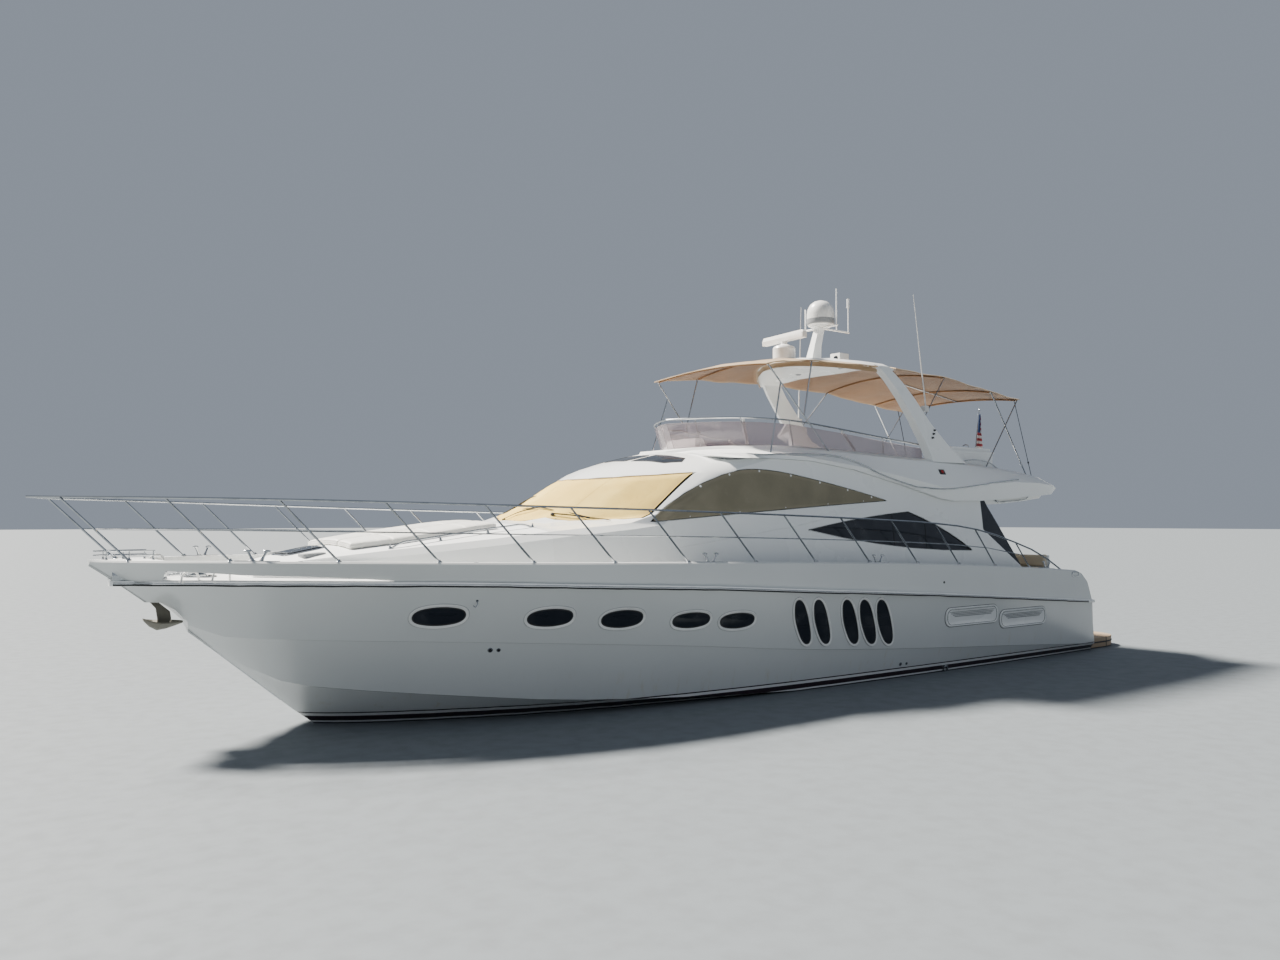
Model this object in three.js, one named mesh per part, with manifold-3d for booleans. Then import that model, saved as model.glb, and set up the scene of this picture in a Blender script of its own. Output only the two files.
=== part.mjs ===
// A 20 m flybridge motor yacht afloat, in millimetres.
// +X points to the bow, +Y to port, +Z up; the origin is amidships on the waterline.
import * as THREE from "three";
import { mergeVertices } from "three/addons/utils/BufferGeometryUtils.js";
import Module from "manifold-3d";

const wasm = await Module();
wasm.setup();

// Driving dimensions
const GAP = 0.4; // between pieces that touch
const TRANSOM_X = -7650; // transom at the waterline
const BULWARK = 130; // thickness of the bulwark
const SIDE_DECK_ABOVE_RUB = 50;
const SOLE_Z = 1275; // cockpit sole, and the least height of the side decks
const SALOON_Z = 1250; // bottom of the saloon's pocket in the hull
const BULKHEAD_X = -4400; // aft face of the saloon
const HOUSE_LEAN = 0.11; // the house side leans in by this much per unit of height
const LEAN_FROM_Z = 1700;
const SWEEP = 0.45e-3; // the windscreen and roof sweep back by this times y squared
const WALL = 70; // thickness of the house's walls
const COACHROOF_X = 5230; // where the deckhouse ends and the coachroof begins
const FLY_FLOOR_Z = 3150;
const SHAFT_Y = 950;
const SHAFT_R = 32;
const PROP_R = 330;
const FRAME_R = 13; // canopy tubes
const WHEEL = [600, -620, 3880]; // centre of the flybridge steering wheel
const STAIR_Y = [-1285, -745]; // outer and inner side of the stair to the flybridge

const white = { color: 0xe9ebe8, roughness: 0.25, metalness: 0 };
const paint = {
  gelcoat: white,
  steel: { color: 0xb9bec2, roughness: 0.2, metalness: 1 },
  darkGlass: { color: 0x14171c, roughness: 0.08, metalness: 0 },
  perspex: { color: 0xb9a7a8, roughness: 0.15, metalness: 0 },
  creamCanvas: { color: 0xe6cf9a, roughness: 0.9, metalness: 0 },
  oliveMesh: { color: 0x8d8468, roughness: 0.9, metalness: 0 },
  canopy: { color: 0xc98f55, roughness: 0.9, metalness: 0 },
  cushion: { color: 0xe8e4da, roughness: 0.8, metalness: 0 },
  teak: { color: 0xa9784a, roughness: 0.7, metalness: 0 },
  bronze: { color: 0x9a7a3e, roughness: 0.4, metalness: 1 },
  plastic: { color: 0xf2f2ee, roughness: 0.4, metalness: 0 },
  bunting: { color: 0x8b3f4c, roughness: 0.9, metalness: 0 },
};

// Helpers: closed geometries to solids, solids to named meshes

function solidOf(geometry) {
  const g = geometry.index ? geometry.toNonIndexed() : geometry;
  g.deleteAttribute("normal");
  g.deleteAttribute("uv");
  const merged = mergeVertices(g, 1e-3);
  const kept = [];
  for (let i = 0; i < merged.index.count; i += 3) {
    const [a, b, c] = [0, 1, 2].map((k) => merged.index.getX(i + k));
    if (a !== b && b !== c && a !== c) kept.push(a, b, c);
  }
  return new wasm.Manifold(
    new wasm.Mesh({
      numProp: 3,
      vertProperties: merged.attributes.position.array,
      triVerts: new Uint32Array(kept),
    }),
  );
}

const group = new THREE.Group();

function addMesh(name, solid, look) {
  const mesh = solid.getMesh();
  const vertices = new Float32Array(mesh.numVert * 3);
  for (let i = 0; i < mesh.numVert; i++) {
    const from = i * mesh.numProp;
    vertices.set(mesh.vertProperties.subarray(from, from + 3), i * 3);
  }
  const geometry = new THREE.BufferGeometry()
    .setAttribute("position", new THREE.BufferAttribute(vertices, 3))
    .setIndex(new THREE.BufferAttribute(mesh.triVerts, 1));
  const made = new THREE.Mesh(geometry, new THREE.MeshStandardMaterial(look));
  made.name = name;
  group.add(made);
}

const join = (...solids) => solids.flat().reduce((a, b) => a.add(b));
const cut = (solid, ...tools) => tools.flat().reduce((a, b) => a.subtract(b), solid);
const portAndStarboard = (make) => [make(1), make(-1)];

// A closed body through equal-length loops of points. Its ends are flat fans, or for a ribbon,
// whose loops run out along one face and back along the other, rows of quads.
function loft(loops, ribbon = false) {
  const count = loops[0].length;
  const points = [];
  const faces = [];
  for (const loop of loops) points.push(...loop);
  for (let s = 0; s + 1 < loops.length; s++) {
    for (let i = 0; i < count; i++) {
      const a = s * count + i;
      const b = s * count + ((i + 1) % count);
      faces.push([a, b, b + count], [a, b + count, a + count]);
    }
  }
  const last = (loops.length - 1) * count;
  [0, last].forEach((start) => {
    if (ribbon) {
      for (let i = 0; i + 1 < count / 2; i++) {
        const [a, b] = [start + i, start + i + 1];
        const [c, d] = [start + count - 2 - i, start + count - 1 - i];
        faces.push(...(start ? [[a, b, c], [a, c, d]] : [[b, a, c], [c, a, d]]));
      }
      return;
    }
    const middle = points.length;
    const loop = points.slice(start, start + count);
    points.push([0, 1, 2].map((k) => loop.reduce((t, p) => t + p[k], 0) / count));
    for (let i = 0; i < count; i++) {
      const edge = [start + i, start + ((i + 1) % count)];
      faces.push(start ? [...edge, middle] : [edge[1], edge[0], middle]);
    }
  });
  const flat = new Float32Array(faces.flat().flatMap((i) => points[i]));
  const geometry = new THREE.BufferGeometry();
  geometry.setAttribute("position", new THREE.BufferAttribute(flat, 3));
  const made = solidOf(geometry);
  if (made.volume() > 0) return made;
  return loft(loops.map((loop) => [...loop].reverse()), ribbon);
}

// A loop across the boat at x from half of its outline, listed from centre bottom to centre top.
const acrossAt = (x, half) => [
  ...half.map(([y, z]) => [x, y, z]),
  ...half
    .filter(([y]) => y > 0.5)
    .reverse()
    .map(([y, z]) => [x, -y, z]),
];

function box(low, high) {
  const size = high.map((v, k) => v - low[k]);
  const middle = high.map((v, k) => (v + low[k]) / 2);
  return solidOf(new THREE.BoxGeometry(...size).translate(...middle));
}

// A cylinder, or cone, from point a to point b.
function bar(a, b, radius, sides = 8, endRadius = radius) {
  const from = new THREE.Vector3(...a);
  const along = new THREE.Vector3(...b).sub(from);
  const geometry = new THREE.CylinderGeometry(endRadius, radius, along.length(), sides);
  const up = new THREE.Vector3(0, 1, 0);
  geometry.applyQuaternion(
    new THREE.Quaternion().setFromUnitVectors(up, along.clone().normalize()),
  );
  const middle = from.addScaledVector(along, 0.5);
  return solidOf(geometry.translate(...middle.toArray()));
}

// A tube along a smooth curve through points.
function pipe(points, radius, sides, steps) {
  const at = points.map((p) => new THREE.Vector3(...p));
  const curve = new THREE.CatmullRomCurve3(at, false, "centripetal");
  const ring = new THREE.Shape();
  for (let i = 0; i < sides; i++) {
    const angle = (2 * Math.PI * i) / sides;
    ring[i ? "lineTo" : "moveTo"](radius * Math.cos(angle), radius * Math.sin(angle));
  }
  return solidOf(new THREE.ExtrudeGeometry(ring, { steps, extrudePath: curve }));
}

// An outline of [x, z] points, extruded along Y from y0 to y1.
function sideways(outline, y0, y1) {
  const shape = new THREE.Shape(outline.map(([x, z]) => new THREE.Vector2(x, z)));
  const geometry = new THREE.ExtrudeGeometry(shape, { depth: y1 - y0, bevelEnabled: false });
  return solidOf(geometry.rotateX(Math.PI / 2).translate(0, y1, 0));
}

// An outline of [x, y] points, extruded upwards from z0 to z1.
function upwards(outline, z0, z1) {
  const shape = new THREE.Shape(outline.map(([x, y]) => new THREE.Vector2(x, y)));
  const geometry = new THREE.ExtrudeGeometry(shape, { depth: z1 - z0, bevelEnabled: false });
  return solidOf(geometry.translate(0, 0, z0));
}

// A smooth function through a table's rows: column 0 is x, col is the value.
function smooth(table, col) {
  const rows = [...table].sort((a, b) => a[0] - b[0]);
  const slope = rows.map((row, i) => {
    const before = rows[Math.max(0, i - 1)];
    const after = rows[Math.min(rows.length - 1, i + 1)];
    return (after[col] - before[col]) / (after[0] - before[0]);
  });
  return (x) => {
    const at = Math.min(Math.max(x, rows[0][0]), rows[rows.length - 1][0]);
    let i = rows.findIndex((row) => row[0] >= at) - 1;
    if (i < 0) i = 0;
    const width = rows[i + 1][0] - rows[i][0];
    const t = (at - rows[i][0]) / width;
    const [p, q] = [rows[i][col], rows[i + 1][col]];
    const [m, n] = [slope[i] * width, slope[i + 1] * width];
    const t2 = t * t;
    const t3 = t2 * t;
    return (2 * t3 - 3 * t2 + 1) * p + (t3 - 2 * t2 + t) * m + (3 * t2 - 2 * t3) * q + (t3 - t2) * n;
  };
}

// Hull

// x, keel z, chine y, chine z, knuckle y, knuckle z, rub rail y, rub rail z, gunwale y, gunwale z
const HULL = [
  [-7900, -700, 2100, -80, 2250, 120, 2370, 985, 2340, 1560],
  [-7200, -730, 2130, -80, 2290, 160, 2420, 1035, 2400, 1640],
  [-5000, -800, 2180, -80, 2340, 300, 2480, 1190, 2460, 1780],
  [-2000, -880, 2190, -50, 2350, 470, 2520, 1400, 2490, 1930],
  [1000, -950, 2130, 20, 2300, 670, 2520, 1580, 2490, 2030],
  [3000, -960, 1980, 110, 2210, 860, 2490, 1705, 2490, 2080],
  [5000, -880, 1720, 240, 2020, 1020, 2390, 1800, 2440, 2120],
  [6200, -690, 1440, 370, 1760, 1100, 2170, 1855, 2270, 2145],
  [7100, -410, 1130, 470, 1480, 1150, 1900, 1885, 2040, 2165],
  [7850, 0, 810, 560, 1180, 1185, 1620, 1900, 1800, 2180],
  [8440, 470, 420, 660, 890, 1215, 1350, 1912, 1560, 2190],
  [9140, 1060, 40, 1075, 430, 1260, 960, 1922, 1190, 2200],
  [9500, 1345, 35, 1360, 60, 1400, 700, 1926, 980, 2204],
  [9940, 1690, 30, 1700, 40, 1712, 370, 1931, 700, 2208],
  [10270, 1945, 30, 1955, 34, 1965, 60, 1985, 400, 2211],
  [10560, 2150, 20, 2155, 24, 2160, 30, 2170, 60, 2213],
];
const [keelZ, chineY, chineZ, knuckleY, knuckleZ, rubY, rubZ, gunwaleY, gunwaleZ] = [
  1, 2, 3, 4, 5, 6, 7, 8, 9,
].map((col) => smooth(HULL, col));
const HULL_STATIONS = [
  -7900, -7200, -6400, -5600, -4800, -4000, -3000, -2000, -1000, 0, 1000, 2000, 3000, 4000,
  4700, 5400, 6000, 6600, 7100, 7500, 7850, 8150, 8440, 8800, 9140, 9500, 9720, 9940, 10110,
  10270, 10400, 10490, 10550,
];
const deckZ = (x) => Math.max(rubZ(x) + SIDE_DECK_ABOVE_RUB, SOLE_Z);

// The stern's profile: everything aft of this [x, z] line is cut away.
const STERN_CUT = [
  [-6150, 1900],
  [-6150, 1745],
  [-6650, 1690],
  [-6930, 1600],
  [-7130, 1440],
  [-7330, 1010],
  [TRANSOM_X, 0],
  [-7700, -1300],
  [-8200, -1300],
  [-8200, 1900],
];
const sternCutter = sideways(STERN_CUT, -2700, 2700);

// How far the sides belly between two lines, as a share of the distance across.
const between = (a, b, t, belly) => [
  a[0] + (b[0] - a[0]) * t + belly,
  a[1] + (b[1] - a[1]) * t,
];

function hullLoop(x, grow = 0) {
  const keel = [0, keelZ(x) - grow];
  const chine = [chineY(x) + grow, chineZ(x)];
  const flat = Math.min(90, chine[0] / 3); // the chine flat
  const inner = [chine[0] - flat, Math.max(chine[1] - 15, keel[1] + 5)];
  const knuckle = [knuckleY(x) + grow, knuckleZ(x)];
  const rub = [rubY(x) + grow, rubZ(x)];
  const hollow = -0.035 * (rub[0] - chine[0]); // concave flare forward
  return acrossAt(x, [
    keel,
    [Math.min(26, inner[0] * 0.5), keel[1] + 12],
    between(keel, inner, 0.5, 14),
    inner,
    chine,
    between(chine, knuckle, 0.5, hollow),
    knuckle,
    [knuckle[0] + Math.min(18, knuckle[0] * 0.2), knuckle[1] + 6],
    between(knuckle, rub, 0.5, hollow + 9),
    rub,
    [0, rub[1]],
  ]);
}

function bandLoop(x, grow = 0) {
  const rub = [rubY(x) + grow, rubZ(x) + GAP - grow];
  const gunwale = [gunwaleY(x) + grow, gunwaleZ(x) + grow];
  const round = Math.min(22, gunwale[0] * 0.3);
  return acrossAt(x, [
    [0, rub[1]],
    rub,
    between(rub, gunwale, 0.5, 8),
    [gunwale[0], gunwale[1] - round],
    [gunwale[0] - round, gunwale[1]],
    [0, gunwale[1]],
  ]);
}

const hullBody = (grow = 0) => loft(HULL_STATIONS.map((x) => hullLoop(x, grow)));
const bandBody = (grow = 0) => loft(HULL_STATIONS.map((x) => bandLoop(x, grow)));
const SKIN_GROW = 0.6; // leaves about a gap's width on the flared bow

// Superstructure

// The centre line of foredeck, windscreen and roof: x, z.
const PROFILE = [
  [9300, 1960],
  [8900, 2090],
  [8470, 2200],
  [7900, 2310],
  [7200, 2410],
  [6400, 2520],
  [5700, 2590],
  [5200, 2640],
  [4980, 2655],
  [4900, 2685],
  [4600, 2860],
  [4250, 3078],
  [3900, 3293],
  [3600, 3432],
  [3280, 3543],
  [2630, 3705],
  [1840, 3838],
  [1000, 3890],
  [-6500, 3890],
];
const profileZ = smooth(PROFILE, 1);
const roofZ = (x, y) => profileZ(x + SWEEP * y * y);

// Half width of the coachroof and house at LEAN_FROM_Z: x, y.
const HOUSE_PLAN = [
  [9000, 260],
  [8700, 560],
  [8200, 940],
  [7500, 1270],
  [6500, 1580],
  [5500, 1770],
  [4500, 1880],
  [3000, 1950],
  [1000, 1970],
  [-5900, 1950],
];
const houseY = smooth(HOUSE_PLAN, 1);
const houseSideY = (x, z) => houseY(x) - HOUSE_LEAN * (z - LEAN_FROM_Z);
const HOUSE_STATIONS = [
  -5850, -4400, -2900, -1400, 0, 1000, 1800, 2400, 2900, 3400, 3900, 4400, 4900, 5300, 6000,
  6700, 7300, 7860, 8330, 8600, 8800,
];

// The house's outside, or a surface that lies inset inside it.
function houseBody(xFrom, xTo, inset, bottom) {
  const stations = [xFrom, ...HOUSE_STATIONS.filter((x) => x > xFrom + 50 && x < xTo - 50), xTo];
  return loft(
    stations.map((x) => {
      let shoulder = roofZ(x, houseY(x)) - inset;
      for (let i = 0; i < 6; i++) shoulder = roofZ(x, houseSideY(x, shoulder)) - inset;
      const side = (z) => houseSideY(x, z) - inset;
      const edge = side(shoulder);
      const low = bottom(x);
      const step = Math.min(70, (shoulder - low) * 0.4);
      const top = [0.94, 0.8, 0.6, 0.4, 0.2, 0].map((share) => {
        const y = edge * share;
        return [y, roofZ(x, y) - inset];
      });
      return acrossAt(x, [
        [0, low],
        [side(low), low],
        [side((low + shoulder) / 2), (low + shoulder) / 2],
        [side(shoulder - step), shoulder - step],
        ...top,
      ]);
    }),
  );
}

// Flybridge: x, bottom z, inner y, crease z, crease y, knuckle z, knuckle y, top z, top y
const FLY = [
  [2080, 3640, 900, 3690, 1400, 3765, 900, 3815, 260],
  [1900, 3590, 1200, 3650, 1745, 3745, 1330, 3862, 720],
  [1600, 3400, 1450, 3655, 1775, 3740, 1650, 3875, 1090],
  [1200, 3150, 1560, 3660, 1785, 3730, 1760, 3880, 1390],
  [700, 3050, 1600, 3662, 1790, 3715, 1790, 3880, 1560],
  [200, 3050, 1600, 3650, 1800, 3700, 1810, 3875, 1630],
  [-800, 3050, 1600, 3540, 1820, 3600, 1850, 3860, 1665],
  [-2000, 3040, 1600, 3310, 1860, 3440, 1910, 3825, 1690],
  [-3100, 3010, 1600, 3070, 1900, 3275, 1950, 3790, 1705],
  [-3500, 2990, 1600, 3030, 1905, 3295, 1950, 3778, 1710],
  [-4300, 2960, 1600, 3045, 1905, 3355, 1945, 3745, 1712],
  [-5400, 3000, 1580, 3110, 1880, 3425, 1925, 3690, 1700],
  [-6300, 3070, 1560, 3170, 1850, 3425, 1900, 3620, 1660],
  [-6900, 3130, 1520, 3205, 1790, 3385, 1850, 3560, 1600],
  [-7200, 3190, 1380, 3240, 1640, 3345, 1720, 3470, 1480],
  [-7360, 3240, 1150, 3265, 1420, 3310, 1480, 3380, 1290],
  [-7420, 3270, 950, 3280, 1230, 3295, 1290, 3320, 1130],
];
const flyTopZ = smooth(FLY, 7);
const flyTopY = smooth(FLY, 8);
// the coaming swells inboard of its outer edge by this much
const crownRise = (x) => THREE.MathUtils.clamp((1900 - x) * 0.03, 0, 45);

function flyEnvelope(grow) {
  return loft(
    FLY.map(([x, zb, wi, zc, wo, zk, wk, zt, wt], i) => {
      const shift = i === 0 ? grow : i === FLY.length - 1 ? -grow : 0;
      return acrossAt(x + shift, [
        [0, zb - grow],
        [wi + grow, zb - grow],
        [wi + 20 + grow, zc - 4 - grow],
        [wo + grow, zc - grow],
        [wk + grow, zk],
        [wt + grow, zt - 45],
        [wt * 0.95, zt + grow],
        [wt * 0.85, zt + crownRise(x) + grow],
        [0, zt + crownRise(x) + grow],
      ]);
    }),
  );
}

// The open well inside the flybridge coaming, down to its floor.
const TUB = [1250, 700, 200, -800, -2000, -3100, -4300, -5400, -6200, -6500];
function flyTub() {
  return loft(
    TUB.map((x) => {
      const side = flyTopY(x) - 300;
      return acrossAt(x, [
        [0, FLY_FLOOR_Z],
        [side - 60, FLY_FLOOR_Z],
        [side, 4200],
        [0, 4200],
      ]);
    }),
  );
}

// Side windows, as [x, z] outlines
const archWindow = new THREE.Shape();
archWindow.moveTo(3600, 2650);
archWindow.quadraticCurveTo(2700, 3300, 1850, 3455);
archWindow.quadraticCurveTo(1450, 3520, 700, 3425);
archWindow.quadraticCurveTo(-500, 3260, -1650, 3015);
archWindow.quadraticCurveTo(900, 2860, 3600, 2650);
const ARCH_WINDOW = archWindow.getPoints(5).slice(0, -1);

const quarterWindow = new THREE.Shape();
quarterWindow.moveTo(420, 2520);
quarterWindow.quadraticCurveTo(-900, 2740, -2180, 2830);
quarterWindow.quadraticCurveTo(-3200, 2560, -4000, 2110);
quarterWindow.quadraticCurveTo(-1700, 2130, 420, 2520);
const QUARTER_WINDOW = quarterWindow.getPoints(5).slice(0, -1);

// An outline drawn inwards by a margin, along the bisector at each corner.
function shrink(outline, margin) {
  const points = outline.map((p) => new THREE.Vector2(p.x, p.y));
  const turn = THREE.ShapeUtils.area(points) > 0 ? 1 : -1;
  return points.map((p, i) => {
    const before = points[(i + points.length - 1) % points.length];
    const after = points[(i + 1) % points.length];
    const a = p.clone().sub(before).normalize();
    const b = after.clone().sub(p).normalize();
    const na = new THREE.Vector2(-a.y, a.x).multiplyScalar(turn);
    const nb = new THREE.Vector2(-b.y, b.x).multiplyScalar(turn);
    const bisector = na.add(nb).normalize();
    const reach = Math.min(margin / Math.max(bisector.dot(nb), 0.3), margin * 3);
    const moved = p.clone().addScaledVector(bisector, reach);
    return [moved.x, moved.y];
  });
}

// The windscreen's opening seen from above: x, y.
const SCREEN_LOW = { x: 4960, half: 1695, bow: 0 };
const SCREEN_HIGH = { x: 3840, half: 1560, bow: 220 };
function screenOutline(margin) {
  const shares = [-1, -0.75, -0.5, -0.25, 0, 0.25, 0.5, 0.75, 1];
  const edge = ({ x, half, bow }, shift) =>
    shares.map((s) => {
      const y = (half - margin) * s;
      return [x + shift - SWEEP * y * y - bow * s * s, y];
    });
  return [...edge(SCREEN_LOW, -margin), ...edge(SCREEN_HIGH, margin).reverse()];
}

// A layer of the house's skin, from one depth to another.
const deep = () => 1000;
const houseLayer = (from, to) =>
  cut(houseBody(-4500, 5600, from, deep), houseBody(-4600, 5700, to, () => 900));

// The pocket in the stem where the anchor stows: x, z
const ANCHOR_POCKET = [
  [9790, 1690],
  [9630, 1590],
  [9480, 1440],
  [9440, 1292],
  [9440, 1200],
  [10200, 1200],
  [10200, 1690],
];

function makeHull() {
  const bores = portAndStarboard((side) => shaftBore(side, SHAFT_START[0], SHAFT_START[0] - 1000));
  const rudderBores = portAndStarboard((side) =>
    bar([RUDDER_X, side * SHAFT_Y, -700], [RUDDER_X, side * SHAFT_Y, -300], RUDDER_STOCK_R + 0.9, 16),
  );
  const saloon = box([BULKHEAD_X, -1720, SALOON_Z], [3600, 1720, 3000]);
  const garage = box([-8000, -1150, 330], [-6500, 1150, 900]);
  const doorway = garageDoorway(5, -60);
  const pocket = sideways(ANCHOR_POCKET, -500, 500);
  const body = cut(hullBody(), sternCutter, saloon, bores, rudderBores, garage, doorway, pocket);
  addMesh("hull", body, paint.gelcoat);
}

// Where the rubbing belt closes round the stem: x, half width
const RUB_RAIL_NOSE = [
  [10050, 250],
  [10180, 190],
  [10270, 130],
  [10330, 60],
];
// A belt round both sides, joined at the bow, that covers the joint of hull and deck
function makeRubRail() {
  const along = HULL_STATIONS.filter((x) => x < 10000).map((x) => [x, rubY(x) + 58]);
  const plank = loft(
    [...along, ...RUB_RAIL_NOSE].map(([x, half]) => {
      const z = x > 9500 ? 1932 : rubZ(x) + 6;
      return acrossAt(x, [
        [0, z - 32],
        [half - 12, z - 32],
        [half, z - 8],
        [half - 4, z + 30],
        [0, z + 30],
      ]);
    }),
  );
  const belt = cut(plank, sternCutter, hullBody(SKIN_GROW), bandBody(SKIN_GROW));
  addMesh("rub_rail", largest(belt), paint.gelcoat);
}

function largest(solid) {
  const pieces = solid.decompose();
  return pieces.sort((a, b) => b.volume() - a.volume())[0];
}

// Everything below the deck's surface.
function belowDeck() {
  return loft(
    HULL_STATIONS.filter((x) => x < 9600).map((x) =>
      acrossAt(x, [
        [0, 500],
        [2600, 500],
        [2600, deckZ(x) + GAP],
        [0, deckZ(x) + GAP],
      ]),
    ),
  );
}

function makeDeck() {
  const wellStations = [-6700, ...HULL_STATIONS.filter((x) => x > -6600 && x < 9800), 9850];
  const well = loft(
    wellStations.map((x) =>
      acrossAt(x, [
        [0, deckZ(x)],
        [gunwaleY(x) - BULWARK, deckZ(x)],
        [gunwaleY(x) - BULWARK, 2600],
        [0, 2600],
      ]),
    ),
  );
  const cockpit = box([-6700, -1820, SOLE_Z], [BULKHEAD_X, 1820, 2600]);
  const saloon = box([BULKHEAD_X, -1720, 900], [3600, 1720, 3000]);
  const gate = box([-7700, -1950, SOLE_Z], [-6600, -1330, 2000]);
  const body = cut(bandBody(), sternCutter, well, cockpit, saloon, gate);
  addMesh("deck", largest(body), paint.gelcoat);
}

// The foredeck hatch's opening in the coachroof
const HATCH = { low: [7860, -250, 2100], high: [8320, 250, 2700] };
function makeCoachroof() {
  const roof = houseBody(COACHROOF_X, 8800, 0, (x) => deckZ(x) - 20);
  const body = cut(roof, belowDeck(), box(HATCH.low, HATCH.high));
  addMesh("coachroof", largest(body), paint.gelcoat);
}

// Everything above the flybridge's crease, where the house's sides end.
function aboveHouse() {
  return loft(
    FLY.map(([x, , , zc], i) =>
      acrossAt(i === 0 ? x + GAP : x, [
        [0, zc - 4 - GAP],
        [2300, zc - 4 - GAP],
        [2300, 4600],
        [0, 4600],
      ]),
    ),
  );
}

function makeDeckhouse() {
  const outer = houseBody(-5760, COACHROOF_X - GAP, 0, deep);
  const cavity = houseBody(BULKHEAD_X + 60, 4990, WALL, () => 900);
  const windows = portAndStarboard((side) =>
    [ARCH_WINDOW, QUARTER_WINDOW].map((outline) =>
      sideways(outline, side > 0 ? 1450 : -2150, side > 0 ? 2150 : -1450),
    ),
  ).flat();
  const screen = upwards(screenOutline(0), 2500, 3700);
  const doorway = box([-4700, -1500, SOLE_Z + 70], [-4200, 1500, 2930]);
  const betweenWings = box([-6000, -1830, 1000], [BULKHEAD_X, 1830, 4500]);
  // above the wings' sloping edge, where the dark side screens stand
  const wingTop = sideways(
    [
      [-6000, 4500],
      [BULKHEAD_X - 1, 4500],
      [BULKHEAD_X - 1, 2500],
      [-5560, 1760],
      [-6000, 1480],
    ],
    -2300,
    2300,
  );
  const shell = cut(
    outer,
    belowDeck(),
    cavity,
    flyEnvelope(GAP),
    aboveHouse(),
    windows,
    screen,
    doorway,
    betweenWings,
    wingTop,
  );
  addMesh("deckhouse", largest(shell), paint.gelcoat);
}

function makeGlazing() {
  const pane = houseLayer(22, 34);
  const cover = houseLayer(4, 12);
  const screenPane = upwards(screenOutline(GAP), 2500, 3700);
  addMesh("windscreen", largest(pane.intersect(screenPane)), paint.darkGlass);
  addMesh("windscreen_cover", largest(cover.intersect(screenPane)), paint.creamCanvas);
  for (const [side, name] of [
    [1, "port"],
    [-1, "starboard"],
  ]) {
    const reach = side > 0 ? [1450, 2150] : [-2150, -1450];
    const arch = sideways(shrink(ARCH_WINDOW, GAP), ...reach);
    const quarter = sideways(shrink(QUARTER_WINDOW, GAP), ...reach);
    addMesh("side_window_" + name, largest(pane.intersect(arch)), paint.darkGlass);
    addMesh("side_window_cover_" + name, largest(cover.intersect(arch)), paint.oliveMesh);
    addMesh("quarter_window_" + name, largest(pane.intersect(quarter)), paint.darkGlass);
    // dark screen between the wing's sloping edge and the cockpit
    const outline = [
      [BULKHEAD_X - 1 - GAP, 2503],
      [BULKHEAD_X - 1 - GAP, 3080],
      [-4560, 3080],
      [-4640, 2952],
      [-4900, 2640],
      [-5250, 2200],
      [-5600, 1760],
      [-5563, 1762],
    ];
    const wall = cut(houseBody(-5800, -4300, 25, deep), houseBody(-5900, -4200, 45, () => 900));
    const screen = cut(wall.intersect(sideways(outline, ...reach)), flyEnvelope(GAP));
    addMesh("wing_screen_" + name, largest(screen), paint.darkGlass);
  }
}

// Aft glazing of the saloon: a fixed panel to starboard and a sliding leaf to port
function makeSaloonDoor() {
  const [low, high] = [SOLE_Z + 70 + GAP, 2930 - GAP];
  const framed = (x, y0, y1) => box([x, y0, low], [x + 30, y1, high]);
  addMesh("saloon_fixed_panel", framed(-4395, -1500 + GAP, 20), paint.darkGlass);
  addMesh("saloon_door", framed(-4359, -30, 1500 - 6), paint.darkGlass);
  const floor = box([-4330, -1700, SALOON_Z + GAP], [3400, 1700, SALOON_Z + 25]);
  addMesh("saloon_floor", floor, paint.teak);
  const seat = join(
    box([-3600, -1600, SALOON_Z + 25 + GAP], [-600, -1000, SALOON_Z + 420]),
    box([-3600, -1600, SALOON_Z + 400], [-600, -1380, SALOON_Z + 850]),
  );
  addMesh("saloon_settee", seat, paint.cushion);
  const helm = join(
    box([1700, -1600, SALOON_Z + 25 + GAP], [3300, 1600, SALOON_Z + 880]),
    box([1500, -1500, SALOON_Z + 600], [1800, -500, SALOON_Z + 1020]),
  );
  addMesh("saloon_dash", helm, paint.teak);
}

function makeFlybridge() {
  const stairwell = box([-6000, STAIR_Y[0] - 10, 2800], [-4700, STAIR_Y[1] + 10, FLY_FLOOR_Z + 10]);
  addMesh("flybridge", cut(flyEnvelope(0), flyTub(), stairwell), paint.gelcoat);
}

// Flybridge windscreen, from port aft round to the front: foot x, foot y, top x, top y, top z
const SCREEN_SIDE = [
  [-3100, 1455, -3050, 1490, 4010],
  [-2000, 1455, -1930, 1490, 4095],
  [-900, 1445, -800, 1485, 4190],
  [250, 1395, 380, 1420, 4280],
  [720, 1290, 880, 1310, 4290],
  [1040, 1120, 1220, 1130, 4297],
  [1290, 850, 1450, 855, 4302],
  [1500, 500, 1665, 500, 4304],
  [1620, 250, 1790, 250, 4305],
];
const mirrorRow = ([x, y, tx, ty, tz]) => [x, -y, tx, -ty, tz];
const SCREEN_PATH = [
  ...SCREEN_SIDE,
  [1690, 0, 1865, 0, 4306],
  ...[...SCREEN_SIDE].reverse().map(mirrorRow),
];
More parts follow.
